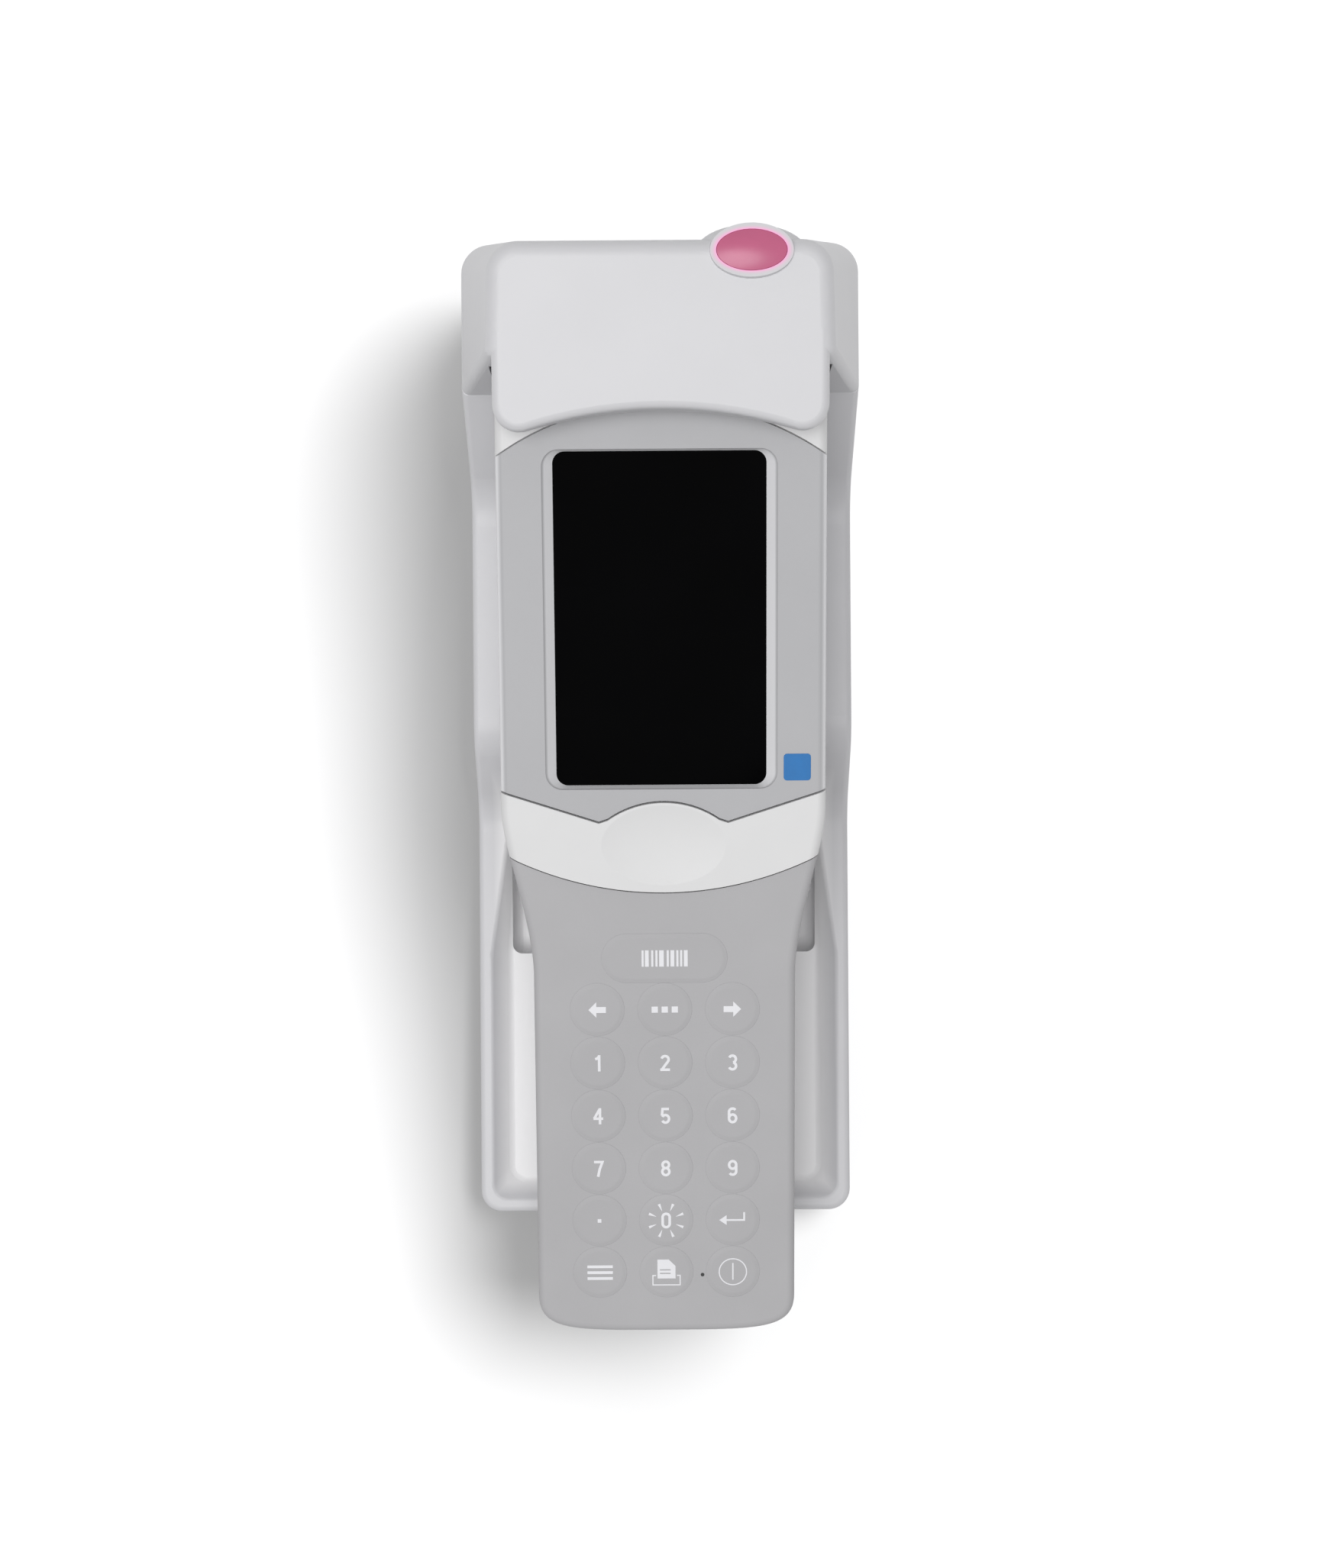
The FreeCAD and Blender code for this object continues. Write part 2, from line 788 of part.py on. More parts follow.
def handle_ribs():
    """Two ribs on the tray floor that carry the handle along its sloping back."""
    ribs = []
    start = tray_front_y + handle_rib_start
    end = start + handle_rib_length

    def rib_z(y):
        back_y, back_z = world(0, -handle_depth)
        return back_z + (y - back_y) * math.tan(tilt) - handle_rib_gap

    shape = [(start, tray_floor_z - past), (start, rib_z(start)), (end, rib_z(end)),
             (end, tray_floor_z - past)]
    for side in (-1, 1):
        rib = side_prism(shape, handle_rib_thickness / 2, [0, rib_bend, rib_bend, 0])
        rib.translate(point(side * handle_rib_x, 0, 0))
        ribs.append(rib)
    return ribs


lens_y = hood_rear_y - lens_from_rear
lens_z = roof_z(lens_y)
lens_face_z = lens_z + bump_rise


def lens_bump():
    """Bell-shaped collar that grows out of the hood's rear edge and holds the status lens."""
    low_z = lens_z - bump_drop
    root = oval(lens_x, lens_y - bump_lean, low_z - bump_root, lens_length, lens_breadth)
    sections = []
    for i in range(bump_sections):
        share = i / (bump_sections - 1)
        side = bump_margin_top + (bump_flare_side - bump_margin_top) * (1 - share) ** 2
        rear = bump_margin_top + (bump_flare_rear - bump_margin_top) * (1 - share) ** 2
        sections.append(oval(lens_x, lens_y, low_z + (bump_drop + bump_rise) * share,
                             lens_length + 2 * side, lens_breadth + 2 * rear))
    return [Part.makeLoft([root, sections[0]], True, True), Part.makeLoft(sections, True, False)]


ir_z = world(analyzer_length, -ir_depth_below_face)[1]
pin_y = world(analyzer_length, -head_depth)[0] - pin_from_end
pin_block_top_z = well_floor_z - shell_wall
led_y = partition_y + partition_thickness + led_board_depth / 2 + bay_gap
chamber_top_z = roof_z(partition_y + partition_thickness) - roof_thickness
cradle_board_top_z = cradle_board_z + board_thickness
cradle_board_rear_y = hood_rear_y - shell_wall - cradle_board_back_gap
jack_z = cradle_board_top_z + jack_height / 2
port_z = cradle_board_top_z + port_height / 2
upward = point(0, 0, 1)
forward = point(0, 1, 0)


def rail_edges(body):
    """Upper edges of the rims and rails, outside and inside, up to the front of the hood."""
    def on_rail(b):
        flat_side = b.XMax - b.XMin < snap
        outside = flat_side and abs(abs(b.Center.x) - half_width) < snap
        inside = flat_side and abs(abs(b.Center.x) - well_half_width) < snap
        low_rim = b.ZMax < low_rim_z + snap
        cross_seam = b.YMax - b.YMin < snap and b.YMin > tray_front_y + rim_crest + snap
        ramp = b.ZMax < mid_rail_z - snap and b.YMin > mid_start_y
        return (b.ZMin > low_rim_z - snap and b.YMax < flank_front_y + snap
                and (outside or inside or low_rim) and not cross_seam and not ramp)

    return edges_where(body, on_rail)


def cradle_shell():
    body = cradle_body().cut([head_space(), tray_space()])
    body = body.makeFillet(rim_edge_radius, rail_edges(body))
    shell = body.fuse([hood_block(), visor()] + lens_bump())
    shell = shell.cut([head_space(), under_space()])
    shell = shell.cut([rail_space(-1), rail_space(1)])
    bosses = []
    bores = []
    for x, y in corner_places(screw_inset_x, screw_inset_y):
        floor_z = tray_floor_z if y < low_end_y else well_floor_z
        bosses.append(upright(screw_boss_diameter, x, y, base_top_z, floor_z - shell_wall / 2))
        bores.append(upright(cradle_screw_diameter + 2 * press_fit, x, y, base_top_z - past,
                             base_top_z + cradle_screw_length))
    shell = shell.fuse(bosses + handle_ribs())
    rear = hood_rear_y - shell_wall - past
    cuts = bores
    cuts.append(oval_prism(lens_x, lens_y, lens_face_z - lens_depth, lens_face_z + past,
                           lens_length + 2 * lens_fit, lens_breadth + 2 * lens_fit))
    cuts.append(upright(led_diameter + 2 * led_hole_gap, lens_x, led_y, chamber_top_z - past,
                        lens_face_z))
    cuts.append(rod(jack_nose + 2 * port_fit, shell_wall + 2 * past, jack_x, rear,
                    jack_z, forward))
    nose_half = port_width / 2 - port_nose_margin + port_fit
    nose_rise = port_height / 2 - port_nose_margin + port_fit
    cuts.append(box(port_x - nose_half, port_x + nose_half, rear, hood_rear_y + past,
                    port_z - nose_rise, port_z + nose_rise))
    beam_half = ir_width / 2 - ir_lip
    beam_rise = ir_height / 2 - ir_lip
    cuts.append(box(-beam_half, beam_half, partition_y - past, partition_y + partition_thickness + past,
                    ir_z - beam_rise, ir_z + beam_rise))
    for side in (-1, 1):
        cuts.append(upright(pin_barrel + 2 * pin_barrel_gap, side * pin_x, pin_y,
                            well_floor_z - shell_wall - past, well_floor_z + past))
    return shell.cut(cuts).removeSplitter()


def cradle_base():
    inner = half_width - shell_wall - base_gap
    front = tray_front_y + shell_wall + base_gap
    rear = hood_rear_y - shell_wall - base_gap
    plate = rounded_block(-inner, inner, front, rear, shell_bottom_z, base_top_z,
                          plan_corner_radius - shell_wall - base_gap)
    plate = plate.common(rounded_block(-inner, inner, front - well_past, rear, shell_bottom_z,
                                       base_top_z,
                                       hood_corner_radius - shell_wall - base_gap))
    posts = []
    for x in (-cradle_board_width / 2 + cradle_post_inset, cradle_board_width / 2 - cradle_post_inset):
        for y in (cradle_board_rear_y - cradle_post_inset,
                  cradle_board_rear_y - cradle_board_length + cradle_post_inset):
            posts.append(upright(cradle_post_diameter, x, y, base_top_z - sink, cradle_board_z))
    plate = plate.fuse(posts)
    holes = []
    for x, y in corner_places(screw_inset_x, screw_inset_y):
        holes.append(upright(cradle_screw_diameter + 2 * screw_hole_gap, x, y,
                             shell_bottom_z - past, base_top_z + past))
        holes.append(upright(cradle_screw_head + 2 * screw_hole_gap, x, y, shell_bottom_z - past,
                             shell_bottom_z + cradle_screw_head_height))
    for x, y in corner_places(foot_inset_x, foot_inset_y):
        holes.append(upright(foot_diameter, x, y, shell_bottom_z - past, shell_bottom_z + foot_recess))
    return plate.cut(holes).removeSplitter()


def cradle_feet():
    return group([upright(foot_diameter, x, y, 0, shell_bottom_z + foot_recess)
                  for x, y in corner_places(foot_inset_x, foot_inset_y)])


def cradle_screws():
    screws = []
    seat_z = shell_bottom_z + cradle_screw_head_height
    for x, y in corner_places(screw_inset_x, screw_inset_y):
        head = upright(cradle_screw_head, x, y, seat_z - cradle_screw_head_height + screw_seat_gap, seat_z)
        shank = upright(cradle_screw_diameter, x, y, seat_z - sink, seat_z + cradle_screw_length)
        slot_half = cradle_screw_diameter / 2
        slot = box(x - slot_half, x + slot_half, y - drive_slot_width / 2, y + drive_slot_width / 2,
                   shell_bottom_z, shell_bottom_z + drive_slot_depth)
        screws.append(head.fuse(shank).cut(slot))
    return group(screws)


def chip(x, y, z, width, length, height):
    return box(x - width / 2, x + width / 2, y - length / 2, y + length / 2, z - sink, z + height)


def cradle_board():
    rear = cradle_board_rear_y
    board = box(-cradle_board_width / 2, cradle_board_width / 2, rear - cradle_board_length, rear,
                cradle_board_z, cradle_board_top_z)
    parts = [board]
    for x, from_rear, width, length, height in cradle_chips:
        parts.append(chip(x, rear - from_rear, cradle_board_top_z, width, length, height))
    for x in (-capacitor_x, capacitor_x):
        parts.append(upright(capacitor_diameter, x, rear - capacitor_from_rear,
                             cradle_board_top_z - sink, cradle_board_top_z + capacitor_height))
    return joined(parts)


def ir_window():
    y = partition_y + partition_thickness
    return box(-ir_width / 2, ir_width / 2, y, y + ir_window_thickness,
               ir_z - ir_height / 2, ir_z + ir_height / 2)


def ir_transceiver():
    y = partition_y + partition_thickness + ir_window_thickness
    body = box(-transceiver_width / 2, transceiver_width / 2, y + eye_rise, y + transceiver_depth,
               ir_z - transceiver_height / 2, ir_z + transceiver_height / 2)
    eyes = [rod(eye_diameter, eye_rise + sink, x, y, ir_z, forward) for x in (-eye_x, eye_x)]
    return joined([body] + eyes)


def status_lens():
    low = lens_face_z - lens_depth
    plug = oval_prism(lens_x, lens_y, low, lens_face_z, lens_length, lens_breadth)
    reach_up = lens_dome
    ball_radius = (lens_length ** 2 / 4 + reach_up ** 2) / (2 * reach_up)
    ball = Part.makeSphere(ball_radius, point(0, 0, 0), upward, dome_latitude, 90, 360)
    squeeze = FreeCAD.Matrix()
    squeeze.scale(1, lens_breadth / lens_length, 1)
    ball = ball.transformGeometry(squeeze)
    ball.translate(point(lens_x, lens_y, lens_face_z + reach_up - ball_radius))
    tall = oval_prism(lens_x, lens_y, low, lens_face_z + 2 * reach_up, lens_length, lens_breadth)
    return plug.fuse(tall.common(ball)).removeSplitter()


def status_led():
    board = box(lens_x - led_board_width / 2, lens_x + led_board_width / 2,
                led_y - led_board_depth / 2, led_y + led_board_depth / 2,
                chamber_top_z - led_board_thickness, chamber_top_z)
    lamp = upright(led_diameter, lens_x, led_y, chamber_top_z - sink, lens_face_z - lens_depth - led_gap)
    return joined([board, lamp])


def power_jack():
    face_y = hood_rear_y - shell_wall
    body = box(jack_x - jack_width / 2, jack_x + jack_width / 2, face_y - jack_depth, face_y,
               jack_z - jack_height / 2, jack_z + jack_height / 2)
    bore_end_y = hood_rear_y - jack_bore_depth
    nose = rod(jack_nose, shell_wall + past, jack_x, face_y - past, jack_z, forward)
    bore = rod(jack_bore, jack_bore_depth + past, jack_x, bore_end_y, jack_z, forward)
    pin = rod(jack_pin, jack_bore_depth - jack_pin_recess + sink, jack_x, bore_end_y - sink, jack_z,
              forward)
    return body.fuse(nose).cut(bore).fuse(pin).removeSplitter()


def data_port():
    face_y = hood_rear_y - shell_wall
    body = box(port_x - port_width / 2, port_x + port_width / 2, face_y - port_depth, face_y,
               port_z - port_height / 2, port_z + port_height / 2)
    half = port_width / 2 - port_nose_margin
    rise = port_height / 2 - port_nose_margin
    nose = box(port_x - half, port_x + half, face_y - past, hood_rear_y, port_z - rise, port_z + rise)
    socket = box(port_x - port_socket_width / 2, port_x + port_socket_width / 2,
                 hood_rear_y - port_socket_depth, hood_rear_y + past,
                 port_z - port_socket_height / 2, port_z + port_socket_height / 2)
    latch = box(port_x - port_latch_width / 2, port_x + port_latch_width / 2,
                hood_rear_y - port_socket_depth, hood_rear_y + past,
                port_z - port_socket_height / 2 - port_latch_height, port_z)
    return body.fuse(nose).cut([socket, latch]).removeSplitter()


pin_neck_z = well_floor_z - pin_neck
pin_room_z = pin_neck_z - pin_collar_height - pin_spring_room
pin_low_z = pin_room_z - pin_block_floor


def contact_block():
    reach_x = pin_x + pin_block_margin
    bar = box(-reach_x, reach_x, pin_y - pin_block_margin, pin_y + pin_block_margin,
              pin_low_z, pin_block_top_z)
    barrels = []
    bores = []
    for side in (-1, 1):
        x = side * pin_x
        barrels.append(upright(pin_barrel, x, pin_y, pin_block_top_z - sink, well_floor_z))
        bores.append(upright(pin_diameter + 2 * pin_fit, x, pin_y, pin_neck_z - past, well_floor_z + past))
        bores.append(upright(pin_collar + 2 * pin_fit, x, pin_y, pin_room_z, pin_neck_z))
    return bar.fuse(barrels).cut(bores).removeSplitter()


def contact_pin(side):
    x = side * pin_x
    shaft = upright(pin_diameter, x, pin_y, pin_neck_z - past, foot_z - pin_tip_gap)
    collar = upright(pin_collar, x, pin_y, pin_neck_z - pin_tip_gap - pin_collar_height,
                     pin_neck_z - pin_tip_gap)
    return joined([shaft, collar])


# Analyzer casing

key_names = [["menu", "print", "power"], ["point", "0", "enter"], ["7", "8", "9"], ["4", "5", "6"],
             ["1", "2", "3"], ["left", "mode", "right"]]
key_rows = [first_row + i * row_pitch for i in range(len(key_names))]
wide_row = key_rows[-1] + wide_row_step
key_hole = key_diameter + 2 * key_gap
key_top_z = key_proud
flange_top_z = deck_low - key_flange_gap
flange_low_z = flange_top_z - key_flange_thickness
stem_low_z = flange_low_z - key_stem_length
dome_top_z = stem_low_z - key_travel - dome_gap
keypad_board_top_z = dome_top_z - dome_height
keypad_board_low_z = keypad_board_top_z - keypad_board_thickness
screen_middle = (screen_low + screen_high) / 2
screen_length = screen_high - screen_low
main_board_top_z = -main_board_depth
main_board_low_z = main_board_top_z - board_thickness
guide_roof_z = guide_wall - port_opening_depth + port_opening_height / 2
sled_low_z = guide_roof_z + sled_gap
axis_z = sled_low_z + sled_height / 2
back_floor_z = case_wall - handle_depth


def round_key_places():
    return [(name, (column - 1) * column_pitch, key_rows[row])
            for row, names in enumerate(key_names) for column, name in enumerate(names)]


def key_cuts(z0, z1):
    cuts = [upright(key_hole, x, y, z0, z1) for name, x, y in round_key_places()]
    cuts.append(pill(0, wide_row, z0, z1, wide_key_length + 2 * key_gap, wide_key_height + 2 * key_gap))
    return cuts


def case_screw_places():
    return [(sx * case_screw_x, y) for sx in (-1, 1) for y in (case_screw_low, case_screw_high)]


def face_slab(top_z):
    """Upper layer of the case over its whole plan, with its outer edge rounded."""
    slab = case_prism(0, deck_top, top_z)
    brow = edges_where(slab, lambda b: b.ZMin > top_z - snap)
    return slab.makeFillet(face_edge_radius, brow)


def front_shell():
    body = case_prism(0, -parting, deck_top)
    body = body.cut(case_prism(case_wall, -parting - past, deck_low))
    low_z = deck_top - sink
    beyond = analyzer_length + well_past
    cap_zone = zone(bezel_arc(seam, low_z), (across(beyond, low_z), beyond), low_z, past)
    cap = case_prism(0, low_z, 0)
    brow = edges_where(cap, lambda b: b.ZMin > -snap)
    cap = cap.makeFillet(face_edge_radius, brow).common(cap_zone)
    body = body.fuse(cap)
    posts = []
    for x, y in case_screw_places():
        low = case_boss_height - handle_depth + case_wall + case_post_gap
        posts.append(upright(case_post_diameter, x, y, low, deck_low + sink))
        posts.append(upright(case_collar_diameter, x, y, keypad_board_top_z, deck_low + sink))
    for sx in (-1, 1):
        for y in (board_post_low, board_post_high):
            posts.append(upright(board_post_diameter, sx * board_post_x, y, main_board_top_z,
                                 deck_low + sink))
    body = body.fuse(posts)
    window_half = screen_width / 2 + window_fit
    cuts = key_cuts(deck_low - past, deck_top + past)
    cuts.append(box(screen_shift - window_half, screen_shift + window_half,
                    screen_low - window_margin - window_fit, screen_high + window_margin + window_fit,
                    deck_low - past, deck_top + window_fit))
    for x, y in case_screw_places():
        low = -handle_depth
        cuts.append(upright(case_screw_diameter + 2 * press_fit, x, y, low,
                            low + case_screw_sink + case_screw_length + past))
    return body.cut(cuts).removeSplitter()


def end_cut(width, height, depth, at_head):
    """Window seat in an end wall: a shallow pocket from outside and a smaller hole behind it."""
    low = depth - height / 2
    high = depth + height / 2
    seat_depth = scanner_window_thickness + window_recess
    pocket_half = width / 2 + window_fit
    hole_half = width / 2 - window_lip
    pocket_start, pocket_end, hole_start, hole_end = -past, seat_depth, 0, case_wall + past
    if at_head:
        pocket_start, pocket_end = analyzer_length - seat_depth, analyzer_length + past
        hole_start, hole_end = analyzer_length - case_wall - past, analyzer_length
    pocket = box(-pocket_half, pocket_half, pocket_start, pocket_end, low - window_fit, high + window_fit)
    hole = box(-hole_half, hole_half, hole_start, hole_end, low + window_lip, high - window_lip)
    return [pocket, hole]


def end_window(width, height, depth, at_head):
    start = analyzer_length - window_recess - scanner_window_thickness if at_head else window_recess
    return box(-width / 2, width / 2, start, start + scanner_window_thickness,
               depth - height / 2, depth + height / 2)


scanner_middle_z = -scanner_depth - scanner_height / 2
ir_middle_z = -ir_depth_below_face
door_start_y = world(foot_front, -foot_front_depth)[0] + door_from_foot_front
door_end_y = door_start_y + door_length
door_top_z = foot_z + door_thickness
pack_start_y = door_start_y + (door_length - pack_length) / 2
pack_low_z = door_top_z + door_gap


def unseat(shape):
    """Bring a piece drawn in the cradle's frame into the analyzer's own frame."""
    placed = shape.copy()
    placed.translate(point(0, -analyzer_end_y, -analyzer_end_z))
    placed.rotate(point(0, 0, 0), point(1, 0, 0), -face_tilt)
    return placed


def contact_places():
    return [(side * pin_x, pin_y) for side in (-1, 1)]


def head_pad_places():
    y = world(foot_front, -foot_front_depth)[0] + head_pad_from_front
    return [(side * head_pad_x, y) for side in (-1, 1)]


def back_shell():
    outer = case_prism(0, -head_depth - well_past, -parting).common(under_prism(0))
    low_edges = edges_where(outer, lambda b: b.ZMax < -parting - snap
                            and not (b.ZMax - b.ZMin > handle_depth - parting - back_edge_radius
                                     and b.YMax - b.YMin < back_edge_radius))
    outer = outer.makeFillet(back_edge_radius, low_edges)
    inner = case_prism(case_wall, -head_depth - well_past, past - parting).common(under_prism(case_wall))
    body = outer.cut(inner)
    bosses = [upright(case_boss_diameter, x, y, back_floor_z - sink, back_floor_z + case_boss_height)
              for x, y in case_screw_places()]
    frame_half = pack_width / 2 + bay_gap
    frame_start = pack_start_y - bay_gap
    frame_end = pack_start_y + pack_length + bay_gap
    frame_out = box(-frame_half - bay_wall, frame_half + bay_wall, frame_start - bay_wall,
                    frame_end + bay_wall, foot_z + case_wall - sink, pack_low_z + pack_height)
    floor_pad = box(-door_width / 2 - 2 * bay_wall - door_tongue,
                    door_width / 2 + 2 * bay_wall + door_tongue,
                    door_start_y - door_lead_in, door_end_y + 2 * bay_wall,
                    foot_z + case_wall - sink, door_top_z + bay_wall)
    frame_in = box(-frame_half, frame_half, frame_start, frame_end, foot_z - past,
                   pack_low_z + pack_height + past)
    body = body.fuse(bosses + [unseat(frame_out), unseat(floor_pad)])
    run_out = door_start_y - door_from_foot_front - well_past
    rebate = box(-door_width / 2 - door_fit, door_width / 2 + door_fit, run_out, door_end_y + door_fit,
                 foot_z - past, door_top_z + door_gap)
    groove = box(-door_width / 2 - door_tongue - door_fit, door_width / 2 + door_tongue + door_fit,
                 run_out, door_end_y + door_fit,
                 door_top_z - door_tongue_thickness - door_gap, door_top_z + door_gap)
    cuts = [unseat(frame_in), unseat(rebate), unseat(groove)]
    for x, y in contact_places():
        cuts.append(unseat(box(x - contact_width / 2, x + contact_width / 2, y - contact_length / 2,
                               y + contact_length / 2, foot_z - past, foot_z + contact_thickness)))
    for x, y in head_pad_places():
        cuts.append(unseat(upright(pad_diameter, x, y, foot_z - past, foot_z + pad_recess)))
    for side in (-1, 1):
        cuts.append(upright(pad_diameter, side * handle_pad_x, handle_pad_y,
                            -handle_depth - past, -handle_depth + pad_recess))
    for x, y in case_screw_places():
        cuts.append(upright(case_screw_diameter + 2 * screw_hole_gap, x, y, -handle_depth - past,
                            back_floor_z + case_boss_height + past))
        cuts.append(upright(case_screw_head + 2 * screw_hole_gap, x, y, -handle_depth - past,
                            -handle_depth + case_screw_sink))
    cuts.append(box(-port_opening_width / 2, port_opening_width / 2, -past, case_wall + past,
                    -port_opening_depth - port_opening_height / 2,
                    -port_opening_depth + port_opening_height / 2))
    cuts += end_cut(scanner_window_width, scanner_window_height, scanner_middle_z, False)
    cuts += end_cut(end_window_width, end_window_height, ir_middle_z, True)
    return body.cut(cuts).removeSplitter()


def display_bezel():
    low = seam_curve(seam, deck_top - past)
    high = bezel_arc(-seam, deck_top - past)
    plate = face_slab(0).common(zone(low, high, deck_top - past, past))
    half = screen_width / 2
    glass_half = screen_glass_width / 2
    top = (screen_shift - half, screen_shift + half, screen_low, screen_high)
    bottom = (screen_shift - glass_half, screen_shift + glass_half,
              screen_low + screen_end_bevel, screen_high - screen_end_bevel)
    hole = rounded_loft(bottom, top, deck_top, 0, screen_glass_radius, screen_corner_radius)
    return plate.cut(hole).removeSplitter()


def display_window():
    half = screen_width / 2
    return rounded_block(screen_shift - half, screen_shift + half, screen_low - window_margin,
                         screen_high + window_margin, deck_top - window_thickness, deck_top,
                         least_radius)


def lcd_module():
    half = lcd_width / 2
    low = deck_low - lcd_thickness
    start = screen_middle - lcd_length / 2
    body = box(screen_shift - half, screen_shift + half, start, start + lcd_length, low, deck_low)
    ribbon = box(-ribbon_width / 2, ribbon_width / 2, start - ribbon_gap, start + past,
                 main_board_top_z, low + past)
    return joined([body, ribbon])


def thumb_band():
    low = band_curve(seam, deck_top - past)
    high = seam_curve(-seam, deck_top - past)
    plate = face_slab(band_proud).common(zone(low, high, deck_top - past, band_proud + past))
    ball_radius = (dimple_length ** 2 / 4 + dimple_depth ** 2) / (2 * dimple_depth)
    ball = Part.makeSphere(ball_radius, point(0, 0, 0), upward, -90, -dome_latitude, 360)
    squeeze = FreeCAD.Matrix()
    squeeze.scale(1, dimple_breadth / dimple_length, 1)
    ball = ball.transformGeometry(squeeze)
    ball.translate(point(0, dimple_y, band_proud + ball_radius - dimple_depth))
    return plate.cut(ball)


def keypad_panel():
    low_z = deck_top - past
    low = (across(-well_past, low_z), -well_past)
    plate = face_slab(0).common(zone(low, band_curve(-seam, low_z), low_z, past))
    return plate.cut(key_cuts(low_z, past))


def finished_key(cap, flange, x, y):
    brow = edges_where(cap, lambda b: b.ZMin > key_top_z - snap)
    cap = cap.makeFillet(key_edge_radius, brow)
    stem = upright(key_stem_diameter, x, y, stem_low_z,
                   flange_low_z + key_flange_thickness / 2)
    return cap.fuse([flange, stem]).removeSplitter()


def round_key(x, y):
    cap = upright(key_diameter, x, y, flange_low_z, key_top_z)
    flange = upright(key_diameter + 2 * key_flange, x, y, flange_low_z, flange_top_z)
    return finished_key(cap, flange, x, y)


def wide_key():
    cap = pill(0, wide_row, flange_low_z, key_top_z, wide_key_length, wide_key_height)
    flange = pill(0, wide_row, flange_low_z, flange_top_z, wide_key_length + 2 * key_flange,
                  wide_key_height + 2 * key_flange)
    return finished_key(cap, flange, 0, wide_row)


# Analyzer inside


def keypad_board():
    board = box(-keypad_board_half_width, keypad_board_half_width, keypad_board_start, keypad_board_end,
                keypad_board_low_z, keypad_board_top_z)
    holes = [upright(case_post_diameter + case_post_gap, x, y, keypad_board_low_z - past,
                     keypad_board_top_z + past) for x, y in case_screw_places()]
    places = [(x, y) for name, x, y in round_key_places()] + [(0, wide_row)]
    domes = [upright(dome_diameter, x, y, keypad_board_top_z - sink, dome_top_z) for x, y in places]
    return board.cut(holes).fuse(domes).removeSplitter()


def main_board():
    board = box(-main_board_half_width, main_board_half_width, main_board_start, main_board_end,
                main_board_low_z, main_board_top_z)
    chips = [box(x0, x1, y0, y1, main_board_low_z - height, main_board_low_z + sink)
             for x0, x1, y0, y1, height in main_chips]
    return joined([board] + chips)


def beeper():
    return upright(beeper_diameter, beeper_x, beeper_y, main_board_low_z - beeper_height, main_board_low_z)


guide_start = case_wall + end_wall_gap
guide_end = guide_start + guide_length
sled_start = bulkhead_start + bulkhead_thickness + sled_gap
rear_bulkhead = sled_start + sled_length + sled_travel + sled_gap
motor_start = rear_bulkhead + bulkhead_thickness
motor_low_z = axis_z - motor_height / 2


def cartridge_guide():
    half = port_opening_width / 2
    low = -port_opening_depth - port_opening_height / 2
    high = -port_opening_depth + port_opening_height / 2
    tube = box(-half - guide_wall, half + guide_wall, guide_start, guide_end + guide_wall,
               low - guide_wall, guide_roof_z)
    legs = [box(s * (half + guide_wall) - (guide_wall if s > 0 else 0),
                s * (half + guide_wall) + (guide_wall if s < 0 else 0),
                guide_start, guide_end, back_floor_z, low) for s in (-1, 1)]
    shelf = box(-motor_width / 2 - past, motor_width / 2 + past, guide_end, motor_start + motor_length,
                motor_low_z - guide_shelf, motor_low_z)
    wall_half = sled_width / 2
    walls = [box(-wall_half, wall_half, y, y + bulkhead_thickness, guide_roof_z - guide_wall / 2,
                 axis_z + sled_height / 2 + 2 * sled_gap) for y in (bulkhead_start, rear_bulkhead)]
    body = tube.fuse(legs + walls + [shelf])
    channel = box(-half, half, guide_start - past, guide_end, low, high)
    slot_start = sled_start + (sled_length - sled_contact_length) / 2 - sled_slot_margin
    slot_length = sled_contact_length + sled_travel + 2 * sled_slot_margin
    slot_half = sled_contact_width / 2 + sled_slot_margin
    slot = box(-slot_half, slot_half, slot_start, slot_start + slot_length, high - past,
               guide_roof_z + past)
    span = motor_start - bulkhead_start + 2 * past
    bores = [rod(rod_diameter + 2 * press_fit, span, s * rod_x, bulkhead_start - past, axis_z, forward)
             for s in (-1, 1)]
    bores.append(rod(screw_journal + 2 * running_fit, span, 0, bulkhead_start - past, axis_z, forward))
    return body.cut([channel, slot] + bores).removeSplitter()


def guide_rods():
    return group([rod(rod_diameter, motor_start - bulkhead_start, s * rod_x, bulkhead_start, axis_z,
                      forward) for s in (-1, 1)])


def lead_screw():
    shaft = rod(screw_journal, motor_start - bulkhead_start, 0, bulkhead_start, axis_z, forward)
    core_start = bulkhead_start + bulkhead_thickness + running_fit
    core = rod(screw_diameter, rear_bulkhead - running_fit - core_start, 0, core_start, axis_z, forward)
    return joined([shaft, core])


def contact_sled():
    half = sled_width / 2
    block = box(-half, half, sled_start, sled_start + sled_length, sled_low_z, sled_low_z + sled_height)
    contact_start = sled_start + (sled_length - sled_contact_length) / 2
    contact = box(-sled_contact_width / 2, sled_contact_width / 2, contact_start,
                  contact_start + sled_contact_length, sled_low_z - sled_contact_drop, sled_low_z + sink)
    span = sled_length + 2 * past
    bores = [rod(rod_diameter + 2 * running_fit, span, s * rod_x, sled_start - past, axis_z, forward)
             for s in (-1, 1)]
    bores.append(rod(screw_diameter + 2 * running_fit, span, 0, sled_start - past, axis_z, forward))
    return block.fuse(contact).cut(bores).removeSplitter()


def drive_motor():
    body = rod(motor_width, motor_length, 0, motor_start, axis_z, forward)
    return body.common(box(-motor_width, motor_width, motor_start, motor_start + motor_length,
                           motor_low_z, motor_low_z + motor_height))


def barcode_scanner():
    return box(-scanner_width / 2, scanner_width / 2, guide_start, guide_start + scanner_length,
               -scanner_depth - scanner_height, -scanner_depth)


